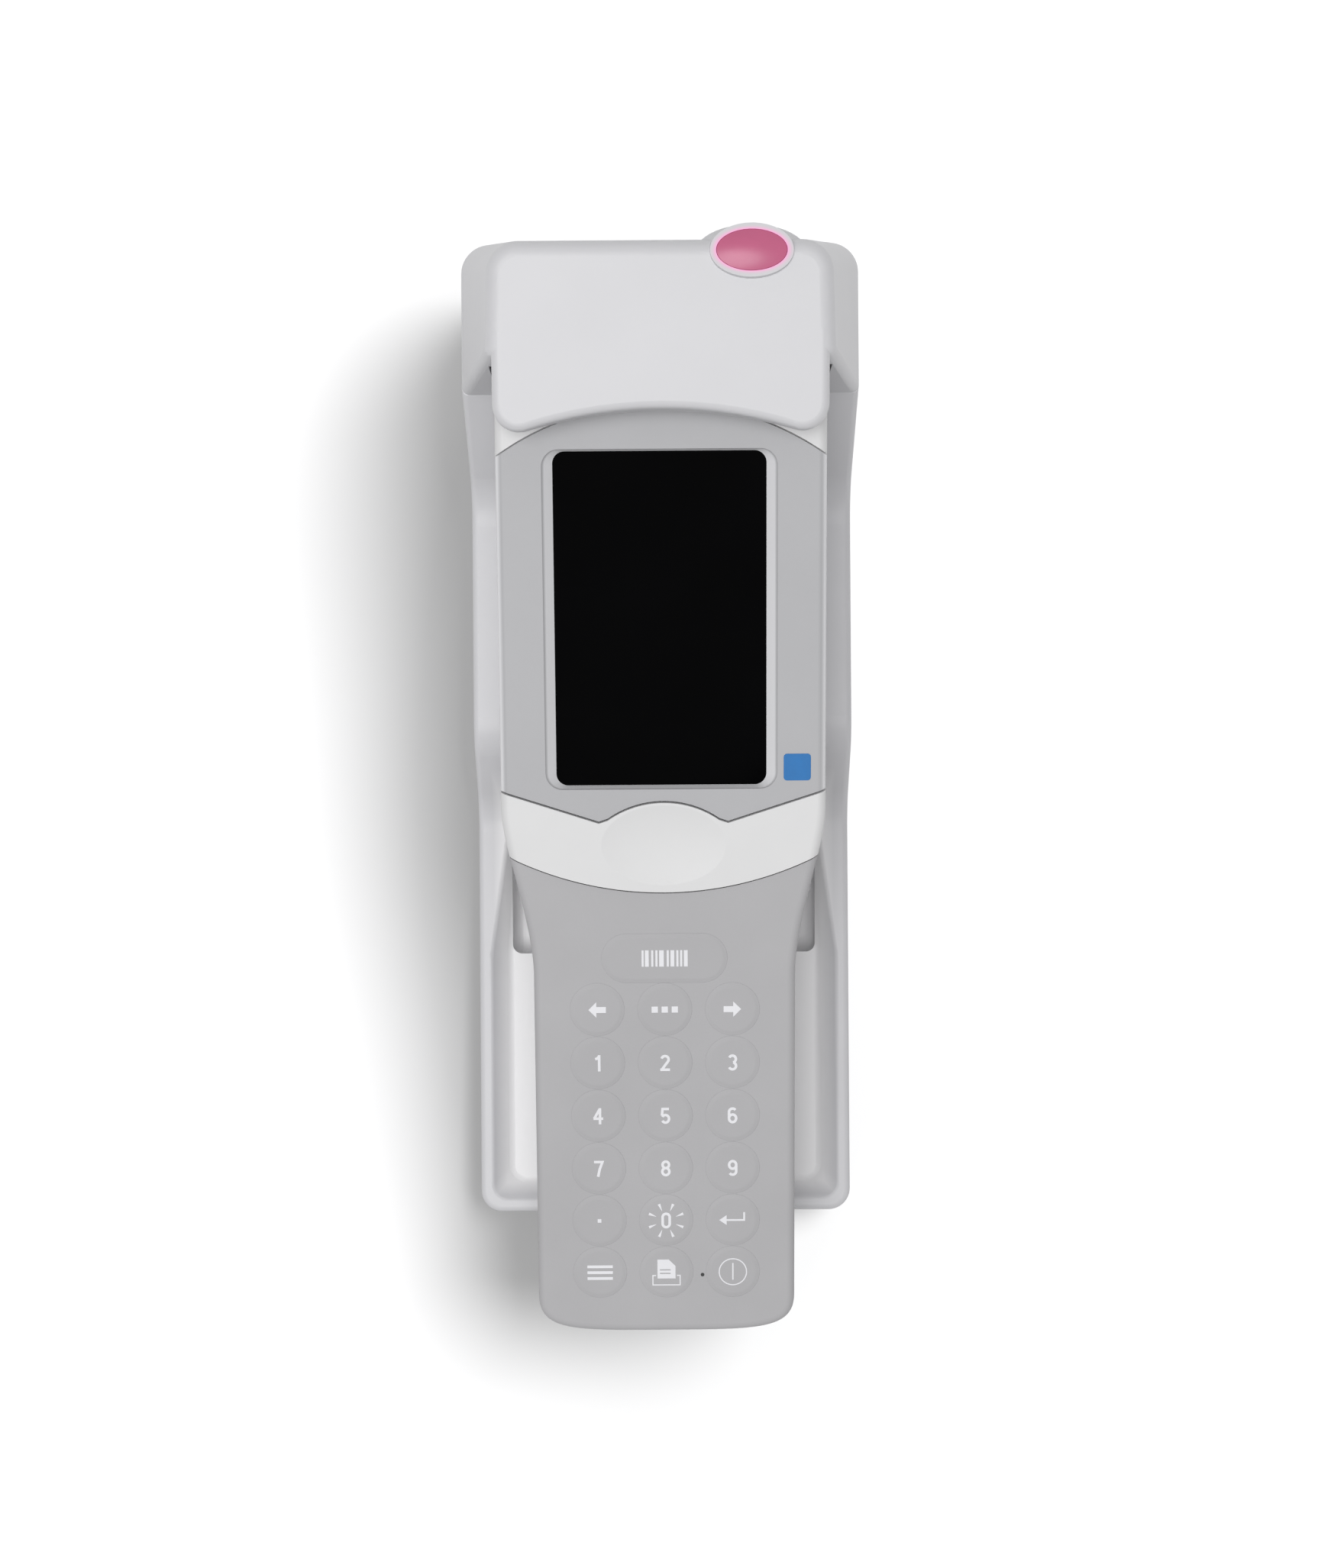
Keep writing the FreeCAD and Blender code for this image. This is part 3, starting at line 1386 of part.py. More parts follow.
def battery_pack():
    half = pack_width / 2
    return rounded_block(-half, half, pack_start_y, pack_start_y + pack_length, pack_low_z,
                         pack_low_z + pack_height, pack_corner_radius)


def battery_door():
    half = door_width / 2
    plate = box(-half, half, door_start_y, door_end_y, foot_z, door_top_z)
    tongues = box(-half - door_tongue, half + door_tongue, door_start_y, door_end_y,
                  door_top_z - door_tongue_thickness, door_top_z)
    grips = [box(-grip_width / 2, grip_width / 2, door_start_y + grip_pitch * (i + 1),
                 door_start_y + grip_pitch * (i + 1) + grip_pitch / 2, foot_z - past, foot_z + grip_depth)
             for i in range(grip_count)]
    return plate.fuse(tongues).cut(grips).removeSplitter()


def charge_contacts():
    return group([box(x - contact_width / 2, x + contact_width / 2, y - contact_length / 2,
                      y + contact_length / 2, foot_z, foot_z + contact_thickness)
                  for x, y in contact_places()])


def analyzer_feet():
    pads = [upright(pad_diameter, x, y, foot_z - pad_height, foot_z + pad_recess)
            for x, y in head_pad_places()]
    pads += [seat(upright(pad_diameter, side * handle_pad_x, handle_pad_y,
                          -handle_depth - pad_height, -handle_depth + pad_recess)) for side in (-1, 1)]
    return group(pads)


def case_screws():
    screws = []
    seat_z = -handle_depth + case_screw_sink
    for x, y in case_screw_places():
        head = upright(case_screw_head, x, y, seat_z - case_screw_head_height, seat_z)
        shank = upright(case_screw_diameter, x, y, seat_z - sink, seat_z + case_screw_length)
        screws.append(head.fuse(shank))
    return group(screws)


cradle_pieces = {
    "cradle_shell": cradle_shell, "cradle_base": cradle_base, "cradle_feet": cradle_feet,
    "cradle_screws": cradle_screws, "cradle_board": cradle_board, "ir_window": ir_window,
    "ir_transceiver": ir_transceiver, "status_lens": status_lens, "status_led": status_led,
    "power_jack": power_jack, "data_port": data_port, "contact_block": contact_block,
    "battery_pack": battery_pack, "battery_door": battery_door, "charge_contacts": charge_contacts,
    "analyzer_feet": analyzer_feet}
analyzer_pieces = {
    "front_shell": front_shell, "back_shell": back_shell, "display_bezel": display_bezel,
    "display_window": display_window, "lcd_module": lcd_module, "thumb_band": thumb_band,
    "keypad_panel": keypad_panel, "key_wide": wide_key, "keypad_board": keypad_board,
    "main_board": main_board, "beeper": beeper, "cartridge_guide": cartridge_guide,
    "guide_rods": guide_rods, "lead_screw": lead_screw, "contact_sled": contact_sled,
    "drive_motor": drive_motor, "barcode_scanner": barcode_scanner, "case_screws": case_screws}

for name, make in cradle_pieces.items():
    save(name, make())
for side, label in ((-1, "left"), (1, "right")):
    save("contact_pin_" + label, contact_pin(side))
for name, make in analyzer_pieces.items():
    save(name, seat(make()))
save("scanner_window", seat(end_window(scanner_window_width, scanner_window_height,
                                       scanner_middle_z, False)))
save("analyzer_ir_window", seat(end_window(end_window_width, end_window_height, ir_middle_z, True)))
for name, x, y in round_key_places():
    save("key_" + name, seat(round_key(x, y)))
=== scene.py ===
import math

import bpy
import numpy as np
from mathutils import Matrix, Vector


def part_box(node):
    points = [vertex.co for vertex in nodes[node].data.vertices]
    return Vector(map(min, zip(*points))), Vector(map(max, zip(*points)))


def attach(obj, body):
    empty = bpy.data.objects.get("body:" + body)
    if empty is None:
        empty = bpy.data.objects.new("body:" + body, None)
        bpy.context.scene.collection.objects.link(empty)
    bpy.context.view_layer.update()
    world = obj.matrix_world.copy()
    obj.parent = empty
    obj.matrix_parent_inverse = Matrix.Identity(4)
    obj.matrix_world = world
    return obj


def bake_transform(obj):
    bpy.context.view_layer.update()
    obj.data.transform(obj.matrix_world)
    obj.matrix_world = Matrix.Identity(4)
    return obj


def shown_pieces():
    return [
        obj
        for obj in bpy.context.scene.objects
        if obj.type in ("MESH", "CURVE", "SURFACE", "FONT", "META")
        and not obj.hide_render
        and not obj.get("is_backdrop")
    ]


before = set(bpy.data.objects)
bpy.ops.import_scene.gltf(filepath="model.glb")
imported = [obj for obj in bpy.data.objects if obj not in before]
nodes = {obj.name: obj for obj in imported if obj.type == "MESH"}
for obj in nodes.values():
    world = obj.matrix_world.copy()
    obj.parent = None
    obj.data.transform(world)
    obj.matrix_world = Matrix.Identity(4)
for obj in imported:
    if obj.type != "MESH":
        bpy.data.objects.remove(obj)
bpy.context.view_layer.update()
mm = 0.001
print("frame loaded:", len(nodes), "nodes")


# ---------- where things are ----------

# The analyzer's face rises towards the display end. Its own x, y, z start at the keypad end's top edge.
face = {"tiltDegrees": 10.2, "startY": -132.2543 * mm, "startZ": 54.976 * mm}


def ontoFace(points):
    # A turn by the tilt about the X axis, then a move to the start of the face.
    turn = math.radians(face["tiltDegrees"])
    c, s = math.cos(turn), math.sin(turn)
    p = np.asarray(points, float)
    return np.stack([p[..., 0],
                     face["startY"] + p[..., 1] * c - p[..., 2] * s,
                     face["startZ"] + p[..., 1] * s + p[..., 2] * c], axis=-1)


def meshObject(name, points, faces, material, smooth=True):
    # Points and faces go in as they are, in metres, in the frame of the whole set.
    mesh = bpy.data.meshes.new(name)
    mesh.from_pydata(np.asarray(points, float).tolist(), [], faces)
    mesh.validate()
    mesh.polygons.foreach_set("use_smooth", [smooth] * len(mesh.polygons))
    mesh.materials.append(material)
    mesh.update()
    piece = bpy.data.objects.new(name, mesh)
    bpy.context.scene.collection.objects.link(piece)
    return piece


# ---------- node helpers ----------

def addNode(tree, kind, x, y, **values):
    # One node; values whose names are sockets go to the sockets, the rest are node properties.
    node = tree.nodes.new(kind)
    node.location = (x, y)
    for key, value in values.items():
        label = key.replace("_", " ")
        if label in node.inputs:
            node.inputs[label].default_value = value
        else:
            setattr(node, key, value)
    return node


def groupWith(name, inputs, outputs):
    # An empty shader group with named number, colour or vector sockets.
    group = bpy.data.node_groups.new(name, "ShaderNodeTree")
    for label, kind, value in inputs:
        socket = group.interface.new_socket(label, in_out="INPUT", socket_type=kind)
        socket.default_value = value
    for label, kind in outputs:
        group.interface.new_socket(label, in_out="OUTPUT", socket_type=kind)
    start = group.nodes.new("NodeGroupInput")
    start.location = (-900, 0)
    end = group.nodes.new("NodeGroupOutput")
    end.location = (700, 0)
    return group, start, end


def makeMouldedGrain():
    # Fine spark-eroded texture: noise and small cells added, as a height and as a mask.
    group, start, end = groupWith(
        "mouldedGrain",
        [("Position", "NodeSocketVector", (0, 0, 0)), ("Scale", "NodeSocketFloat", 2400.0)],
        [("Height", "NodeSocketFloat"), ("Mask", "NodeSocketFloat")])
    noise = addNode(group, "ShaderNodeTexNoise", -500, 150, Detail=2.0, Roughness=0.55)
    cells = addNode(group, "ShaderNodeTexVoronoi", -500, -150)
    cells.feature = "SMOOTH_F1"
    scaleDown = addNode(group, "ShaderNodeMath", -700, -200, operation="MULTIPLY")
    scaleDown.inputs[1].default_value = 0.7
    mix = addNode(group, "ShaderNodeMath", -200, 0, operation="MULTIPLY_ADD")
    mix.inputs[1].default_value = 0.6
    link = group.links.new
    link(start.outputs["Position"], noise.inputs["Vector"])
    link(start.outputs["Position"], cells.inputs["Vector"])
    link(start.outputs["Scale"], noise.inputs["Scale"])
    link(start.outputs["Scale"], scaleDown.inputs[0])
    link(scaleDown.outputs[0], cells.inputs["Scale"])
    link(cells.outputs["Distance"], mix.inputs[0])
    link(noise.outputs["Fac"], mix.inputs[2])
    link(mix.outputs[0], end.inputs["Height"])
    link(noise.outputs["Fac"], end.inputs["Mask"])
    return group


def makeFaintMottle():
    # Broad, faint unevenness of a moulded colour, from 0 to 1.
    group, start, end = groupWith(
        "faintMottle",
        [("Position", "NodeSocketVector", (0, 0, 0)), ("Scale", "NodeSocketFloat", 30.0)],
        [("Mask", "NodeSocketFloat")])
    noise = addNode(group, "ShaderNodeTexNoise", -500, 0, Detail=4.0, Roughness=0.6)
    spread = addNode(group, "ShaderNodeMapRange", -200, 0, From_Min=0.32, From_Max=0.68)
    link = group.links.new
    link(start.outputs["Position"], noise.inputs["Vector"])
    link(start.outputs["Scale"], noise.inputs["Scale"])
    link(noise.outputs["Fac"], spread.inputs["Value"])
    link(spread.outputs[0], end.inputs["Mask"])
    return group


def makeOvalGlow():
    # A halo that is 1 at the edge of an ellipsoid and fades outwards to 0 over its reach.
    group, start, end = groupWith(
        "ovalGlow",
        [("Position", "NodeSocketVector", (0, 0, 0)), ("Centre", "NodeSocketVector", (0, 0, 0)),
         ("Half Size", "NodeSocketVector", (1, 1, 1)), ("Reach", "NodeSocketFloat", 1.4)],
        [("Mask", "NodeSocketFloat")])
    away = addNode(group, "ShaderNodeVectorMath", -600, 0, operation="SUBTRACT")
    share = addNode(group, "ShaderNodeVectorMath", -400, 0, operation="DIVIDE")
    size = addNode(group, "ShaderNodeVectorMath", -200, 0, operation="LENGTH")
    fade = addNode(group, "ShaderNodeMapRange", 0, 0, From_Min=1.0, To_Min=1.0, To_Max=0.0)
    sharpen = addNode(group, "ShaderNodeMath", 250, 0, operation="POWER")
    sharpen.inputs[1].default_value = 2.2
    link = group.links.new
    link(start.outputs["Position"], away.inputs[0])
    link(start.outputs["Centre"], away.inputs[1])
    link(away.outputs[0], share.inputs[0])
    link(start.outputs["Half Size"], share.inputs[1])
    link(share.outputs[0], size.inputs[0])
    link(size.outputs["Value"], fade.inputs["Value"])
    link(start.outputs["Reach"], fade.inputs["From Max"])
    link(fade.outputs[0], sharpen.inputs[0])
    link(sharpen.outputs[0], end.inputs["Mask"])
    return group


def makeBelowFace():
    # How far a point lies under the analyzer's face, as 0 just below it and 1 at the given depth.
    group, start, end = groupWith(
        "belowFace",
        [("Position", "NodeSocketVector", (0, 0, 0)), ("Depth", "NodeSocketFloat", 0.0006)],
        [("Mask", "NodeSocketFloat")])
    turn = math.radians(face["tiltDegrees"])
    away = addNode(group, "ShaderNodeVectorMath", -600, 0, operation="SUBTRACT")
    away.inputs[1].default_value = (0, face["startY"], face["startZ"])
    rise = addNode(group, "ShaderNodeVectorMath", -400, 0, operation="DOT_PRODUCT")
    rise.inputs[1].default_value = (0, -math.sin(turn), math.cos(turn))
    down = addNode(group, "ShaderNodeMath", -200, 0, operation="MULTIPLY")
    down.inputs[1].default_value = -1.0
    spread = addNode(group, "ShaderNodeMapRange", 50, 0, From_Min=0.00015)
    link = group.links.new
    link(start.outputs["Position"], away.inputs[0])
    link(away.outputs[0], rise.inputs[0])
    link(rise.outputs["Value"], down.inputs[0])
    link(down.outputs[0], spread.inputs["Value"])
    link(start.outputs["Depth"], spread.inputs["From Max"])
    link(spread.outputs[0], end.inputs["Mask"])
    return group


def makeInsideBox():
    # 1 well inside a box and 0 outside it: the least share, over the three axes, of the way in from the wall.
    group, start, end = groupWith(
        "insideBox",
        [("Position", "NodeSocketVector", (0, 0, 0)), ("Centre", "NodeSocketVector", (0, 0, 0)),
         ("Half Size", "NodeSocketVector", (1, 1, 1)), ("Fade", "NodeSocketVector", (0.1, 0.1, 0.1))],
        [("Mask", "NodeSocketFloat")])
    away = addNode(group, "ShaderNodeVectorMath", -750, 0, operation="SUBTRACT")
    size = addNode(group, "ShaderNodeVectorMath", -600, 0, operation="ABSOLUTE")
    wayIn = addNode(group, "ShaderNodeVectorMath", -450, 0, operation="SUBTRACT")
    share = addNode(group, "ShaderNodeVectorMath", -300, 0, operation="DIVIDE")
    parts = addNode(group, "ShaderNodeSeparateXYZ", -150, 0)
    least = addNode(group, "ShaderNodeMath", 50, 0, operation="MINIMUM")
    leastOfAll = addNode(group, "ShaderNodeMath", 250, 0, operation="MINIMUM")
    spread = addNode(group, "ShaderNodeMapRange", 450, 0)
    link = group.links.new
    link(start.outputs["Position"], away.inputs[0])
    link(start.outputs["Centre"], away.inputs[1])
    link(away.outputs[0], size.inputs[0])
    link(start.outputs["Half Size"], wayIn.inputs[0])
    link(size.outputs[0], wayIn.inputs[1])
    link(wayIn.outputs[0], share.inputs[0])
    link(start.outputs["Fade"], share.inputs[1])
    link(share.outputs[0], parts.inputs[0])
    link(parts.outputs["X"], least.inputs[0])
    link(parts.outputs["Y"], least.inputs[1])
    link(least.outputs[0], leastOfAll.inputs[0])
    link(parts.outputs["Z"], leastOfAll.inputs[1])
    link(leastOfAll.outputs[0], spread.inputs["Value"])
    link(spread.outputs[0], end.inputs["Mask"])
    return group


mouldedGrain = makeMouldedGrain()
belowFace = makeBelowFace()
insideBox = makeInsideBox()
faintMottle = makeFaintMottle()
ovalGlow = makeOvalGlow()
print("shader groups made")


def finish(name, look):
    # A Principled surface whose colour drifts between two near tones, with fine grain in its roughness and bump.
    material = bpy.data.materials.new(name)
    material.use_nodes = True
    tree = material.node_tree
    link = tree.links.new
    shader = next(n for n in tree.nodes if n.type == "BSDF_PRINCIPLED")
    place = addNode(tree, "ShaderNodeTexCoord", -1200, 0)
    mottle = addNode(tree, "ShaderNodeGroup", -900, 200)
    mottle.node_tree = faintMottle
    mottle.inputs["Scale"].default_value = look.get("mottleScale", 35.0)
    tone = addNode(tree, "ShaderNodeMix", -600, 250)
    tone.data_type = "RGBA"
    base = look["colour"]
    drift = look.get("drift", 0.03)
    tone.inputs["A"].default_value = (*[c * (1 - drift) for c in base], 1)
    tone.inputs["B"].default_value = (*[min(1.0, c * (1 + drift)) for c in base], 1)
    link(place.outputs["Object"], mottle.inputs["Position"])
    link(mottle.outputs["Mask"], tone.inputs["Factor"])
    link(tone.outputs["Result"], shader.inputs["Base Color"])
    grain = addNode(tree, "ShaderNodeGroup", -900, -150)
    grain.node_tree = mouldedGrain
    grain.inputs["Scale"].default_value = look.get("grainScale", 2400.0)
    link(place.outputs["Object"], grain.inputs["Position"])
    rough = addNode(tree, "ShaderNodeMapRange", -600, -50,
                    To_Min=look["roughness"] - look.get("roughnessDrift", 0.05),
                    To_Max=look["roughness"] + look.get("roughnessDrift", 0.05))
    link(grain.outputs["Mask"], rough.inputs["Value"])
    link(rough.outputs[0], shader.inputs["Roughness"])
    bump = addNode(tree, "ShaderNodeBump", -600, -350, Strength=look.get("grainStrength", 0.15),
                   Distance=look.get("grainDepth", 0.00005))
    link(grain.outputs["Height"], bump.inputs["Height"])
    link(bump.outputs["Normal"], shader.inputs["Normal"])
    shader.inputs["Metallic"].default_value = look.get("metallic", 0.0)
    shader.inputs["Specular IOR Level"].default_value = look.get("specular", 0.5)
    shader.inputs["Coat Weight"].default_value = look.get("coat", 0.0)
    shader.inputs["Coat Roughness"].default_value = look.get("coatRoughness", 0.05)
    return material, tree, shader, place


# Colours are linear. Grain scales are per metre.
looks = {
    "cradleWhite": {"colour": (0.650, 0.648, 0.668), "roughness": 0.42, "grainScale": 2600.0,
                    "grainStrength": 0.12, "drift": 0.018, "mottleScale": 22.0},
    "caseWhite": {"colour": (0.720, 0.720, 0.724), "roughness": 0.46, "grainScale": 2600.0,
                  "grainStrength": 0.14, "drift": 0.018, "mottleScale": 30.0},
    "caseGrey": {"colour": (0.560, 0.560, 0.570), "roughness": 0.48, "grainScale": 2200.0,
                 "grainStrength": 0.2, "drift": 0.02},
    "bezelGrey": {"colour": (0.440, 0.440, 0.454), "roughness": 0.5, "grainScale": 2600.0,
                  "grainStrength": 0.22, "drift": 0.02},
    "keypadGrey": {"colour": (0.458, 0.454, 0.465), "roughness": 0.62, "specular": 0.35,
                   "grainScale": 3200.0, "grainStrength": 0.35, "grainDepth": 0.00006, "drift": 0.025},
    "keyGrey": {"colour": (0.452, 0.448, 0.459), "roughness": 0.6, "specular": 0.35,
                "grainScale": 3200.0, "grainStrength": 0.35, "grainDepth": 0.00006, "drift": 0.025},
    "padRubber": {"colour": (0.105, 0.105, 0.110), "roughness": 0.75, "specular": 0.3,
                  "grainScale": 1800.0, "grainStrength": 0.5, "drift": 0.08},
    "displayGlass": {"colour": (0.0010, 0.0010, 0.0012), "roughness": 0.07, "roughnessDrift": 0.02,
                     "specular": 0.004, "grainScale": 400.0, "grainStrength": 0.02, "drift": 0.2},
    "rayWindow": {"colour": (0.030, 0.004, 0.006), "roughness": 0.12, "roughnessDrift": 0.03,
                  "grainScale": 400.0, "grainStrength": 0.03, "drift": 0.15},
    "socketBlack": {"colour": (0.012, 0.012, 0.013), "roughness": 0.45, "grainScale": 2000.0,
                    "grainStrength": 0.25, "drift": 0.1},
    "circuitGreen": {"colour": (0.012, 0.085, 0.035), "roughness": 0.35, "grainScale": 900.0,
                     "grainStrength": 0.25, "drift": 0.25, "mottleScale": 160.0, "coat": 0.4},
    "screwSteel": {"colour": (0.52, 0.52, 0.54), "roughness": 0.3, "metallic": 1.0,
                   "grainScale": 1500.0, "grainStrength": 0.15, "drift": 0.06},
    "contactGold": {"colour": (0.72, 0.50, 0.20), "roughness": 0.25, "metallic": 1.0,
                    "grainScale": 1500.0, "grainStrength": 0.1, "drift": 0.06},
    "legendWhite": {"colour": (0.83, 0.83, 0.86), "roughness": 0.5, "grainScale": 2400.0,
                    "grainStrength": 0.1, "drift": 0.02},
    "labelBlue": {"colour": (0.012, 0.165, 0.460), "roughness": 0.4, "specular": 0.3, "grainScale": 2000.0,
                  "grainStrength": 0.1, "drift": 0.05, "mottleScale": 300.0},
}

# The status lens is lit from behind, and its light is painted into the white plastic round it as a pink glow and a
# pink tint in the colour.
lensLow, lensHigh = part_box("status_lens")
lens = {"centre": ((lensLow[0] + lensHigh[0]) / 2, (lensLow[1] + lensHigh[1]) / 2, lensHigh[2] - 0.5 * mm),
        "half": (8.0 * mm, 4.7 * mm, 9.0 * mm), "reach": 1.22, "colour": (0.50, 0.100, 0.205), "light": 0.05,
        "haloColour": (1.0, 0.16, 0.62), "haloLight": 0.12, "haloTone": (0.90, 0.42, 0.66, 1)}


# Painted light: the tray's floor is painted a brighter white than the hood, to lift the shade that falls into it. It
# lies inside the walls, within half sizes of its centre.
trayPaintedLight = {"colour": (0.86, 0.855, 0.865, 1), "centre": (0.0, 4 * mm, 0.0), "half": (44 * mm, 108 * mm, 30 * mm),
        "fade": (3 * mm, 3 * mm, 11 * mm)}


def makeCradleWhite():
    # White shell plastic with painted light: its colour is painted brighter towards the tray's floor, and a pink glow
    # and a pink tint are painted round the lens.
    material, tree, shader, place = finish("cradleWhite", looks["cradleWhite"])
    tone = shader.inputs["Base Color"].links[0].from_socket
    # Painted light: a brighter colour inside the tray's box, in place of light that the walls and analyzer shade off.
    low = addNode(tree, "ShaderNodeGroup", -650, 900)
    low.node_tree = insideBox
    low.inputs["Centre"].default_value = trayPaintedLight["centre"]
    low.inputs["Half Size"].default_value = trayPaintedLight["half"]
    low.inputs["Fade"].default_value = trayPaintedLight["fade"]
    pick = addNode(tree, "ShaderNodeMix", -350, 800)
    pick.data_type = "RGBA"
    pick.inputs["B"].default_value = trayPaintedLight["colour"]
    tree.links.new(place.outputs["Object"], low.inputs["Position"])
    tree.links.new(low.outputs["Mask"], pick.inputs["Factor"])
    tree.links.new(tone, pick.inputs["A"])
    tree.links.new(pick.outputs["Result"], shader.inputs["Base Color"])
    # Painted light: the shell gives off a pink glow in an oval round the lens.
    glow = addNode(tree, "ShaderNodeGroup", -900, 600)
    glow.node_tree = ovalGlow
    glow.inputs["Centre"].default_value = lens["centre"]
    glow.inputs["Half Size"].default_value = lens["half"]
    glow.inputs["Reach"].default_value = lens["reach"]
    tint = addNode(tree, "ShaderNodeMix", -600, 600)
    tint.data_type = "RGBA"
    tint.inputs["A"].default_value = (0, 0, 0, 1)
    tint.inputs["B"].default_value = (*lens["haloColour"], 1)
    tree.links.new(place.outputs["Object"], glow.inputs["Position"])
    tree.links.new(glow.outputs["Mask"], tint.inputs["Factor"])
    # Painted light: the halo's pink tone is mixed into the shell's own colour.
    paintedGlowTint = addNode(tree, "ShaderNodeMix", -150, 900)
    paintedGlowTint.data_type = "RGBA"
    paintedGlowTint.inputs["B"].default_value = lens["haloTone"]
    tree.links.new(glow.outputs["Mask"], paintedGlowTint.inputs["Factor"])
    tree.links.new(pick.outputs["Result"], paintedGlowTint.inputs["A"])
    tree.links.new(paintedGlowTint.outputs["Result"], shader.inputs["Base Color"])
    tree.links.new(tint.outputs["Result"], shader.inputs["Emission Color"])
    shader.inputs["Emission Strength"].default_value = lens["haloLight"]
    return material


def makeLensPink():
    # Milky pink plastic that gives light of its own, its pink drifting a little with a fine noise.
    look = {"colour": lens["colour"], "roughness": 0.3, "grainScale": 900.0, "grainStrength": 0.04,
            "drift": 0.04, "mottleScale": 120.0}
    material, tree, shader, place = finish("lensPink", look)
    tone = addNode(tree, "ShaderNodeMix", -600, 600)
    tone.data_type = "RGBA"
    tone.inputs["A"].default_value = (0.56, 0.17, 0.28, 1)
    tone.inputs["B"].default_value = (0.76, 0.24, 0.42, 1)
    wave = addNode(tree, "ShaderNodeTexNoise", -900, 600, Scale=140.0, Detail=1.0)
    tree.links.new(place.outputs["Object"], wave.inputs["Vector"])
    tree.links.new(wave.outputs["Fac"], tone.inputs["Factor"])
    tree.links.new(tone.outputs["Result"], shader.inputs["Emission Color"])
    shader.inputs["Emission Strength"].default_value = lens["light"]
    return material


# The display opening's bevel carries a painted highlight, lighter than the face, and the keys' slopes look softer than
# they are.
rim = {"bevelPaintedHighlight": (0.80, 0.80, 0.82, 1), "recessDepth": 0.7 * mm, "softness": 0.15}


def makeBezelGrey():
    # Grey plastic with a painted highlight: it turns lighter below the face, on the bevel round the display.
    material, tree, shader, place = finish("bezelGrey", looks["bezelGrey"])
    tone = shader.inputs["Base Color"].links[0].from_socket
    below = addNode(tree, "ShaderNodeGroup", -900, 600)
    below.node_tree = belowFace
    below.inputs["Depth"].default_value = rim["recessDepth"]
    pick = addNode(tree, "ShaderNodeMix", -300, 500)
    pick.data_type = "RGBA"
    pick.inputs["B"].default_value = rim["bevelPaintedHighlight"]
    tree.links.new(place.outputs["Object"], below.inputs["Position"])
    tree.links.new(below.outputs["Mask"], pick.inputs["Factor"])
    tree.links.new(tone, pick.inputs["A"])
    tree.links.new(pick.outputs["Result"], shader.inputs["Base Color"])
    return material


def makeKeyGrey():
    # Rubber whose shading normal is drawn part of the way towards the face's own direction.
    material, tree, shader, place = finish("keyGrey", looks["keyGrey"])
    bump = shader.inputs["Normal"].links[0].from_socket
    turn = math.radians(face["tiltDegrees"])
    blend = addNode(tree, "ShaderNodeMix", -300, -350)
    blend.data_type = "VECTOR"
    vectors = [socket for socket in blend.inputs if socket.type == "VECTOR" and socket.name in "AB"]
    vectors[1].default_value = (0, -math.sin(turn), math.cos(turn))
    blend.inputs["Factor"].default_value = rim["softness"]
    unit = addNode(tree, "ShaderNodeVectorMath", -120, -350, operation="NORMALIZE")
    tree.links.new(bump, vectors[0])
    tree.links.new(next(o for o in blend.outputs if o.type == "VECTOR"), unit.inputs[0])
    tree.links.new(unit.outputs[0], shader.inputs["Normal"])
    return material


special = {"cradleWhite": makeCradleWhite, "bezelGrey": makeBezelGrey, "keyGrey": makeKeyGrey}
materials = {name: special[name]() if name in special else finish(name, look)[0] for name, look in looks.items()}
materials["lensPink"] = makeLensPink()

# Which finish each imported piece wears
finishes = {
    "cradleWhite": ["cradle_shell", "cradle_base"],
    "caseWhite": ["front_shell", "thumb_band", "contact_sled"],
    "caseGrey": ["back_shell", "battery_door"],
    "bezelGrey": ["display_bezel"],
    "keypadGrey": ["keypad_panel"],
    "padRubber": ["cradle_feet", "analyzer_feet"],
    "displayGlass": ["display_window"],
    "rayWindow": ["ir_window", "scanner_window", "analyzer_ir_window"],
    "lensPink": ["status_lens"],
    "socketBlack": ["ir_transceiver", "power_jack", "data_port", "contact_block", "beeper",
                    "cartridge_guide", "barcode_scanner", "battery_pack"],
    "circuitGreen": ["cradle_board", "status_led", "keypad_board", "main_board"],
    "screwSteel": ["cradle_screws", "case_screws", "lcd_module", "guide_rods", "lead_screw", "drive_motor"],
    "contactGold": ["contact_pin_left", "contact_pin_right", "charge_contacts"],
}
for name, members in finishes.items():
    for member in members:
        nodes[member].data.materials.clear()
        nodes[member].data.materials.append(materials[name])
for name, node in nodes.items():
    if name.startswith("key_"):
        node.data.materials.clear()
        node.data.materials.append(materials["keyGrey"])
bare = [name for name in nodes if not name.startswith("key_")
        and name not in [m for members in finishes.values() for m in members]]
print("finishes given, left bare:", bare)


# ---------- the keypad's soft skins ----------

skin = {"keyRadius": 5.7, "wideHalfStraight": 9.0, "wideRadius": 5.2, "reach": 0.85, "keyTop": 0.22,
        "lift": 0.012, "thickness": 0.06, "turns": 72, "slopeSteps": 12, "firstRow": 15.6,
        "rowPitch": 13.24, "columnPitch": 16.2, "wideRow": 94.4}
keyPlaces = {}
for row, names in enumerate([("menu", "print", "power"), ("point", "0", "enter"), ("7", "8", "9"),
                             ("4", "5", "6"), ("1", "2", "3"), ("left", "mode", "right")]):
    for column, name in enumerate(names):
        keyPlaces["key_" + name] = ((column - 1) * skin["columnPitch"], skin["firstRow"] + row * skin["rowPitch"])
keyPlaces["key_wide"] = (0.0, skin["wideRow"])


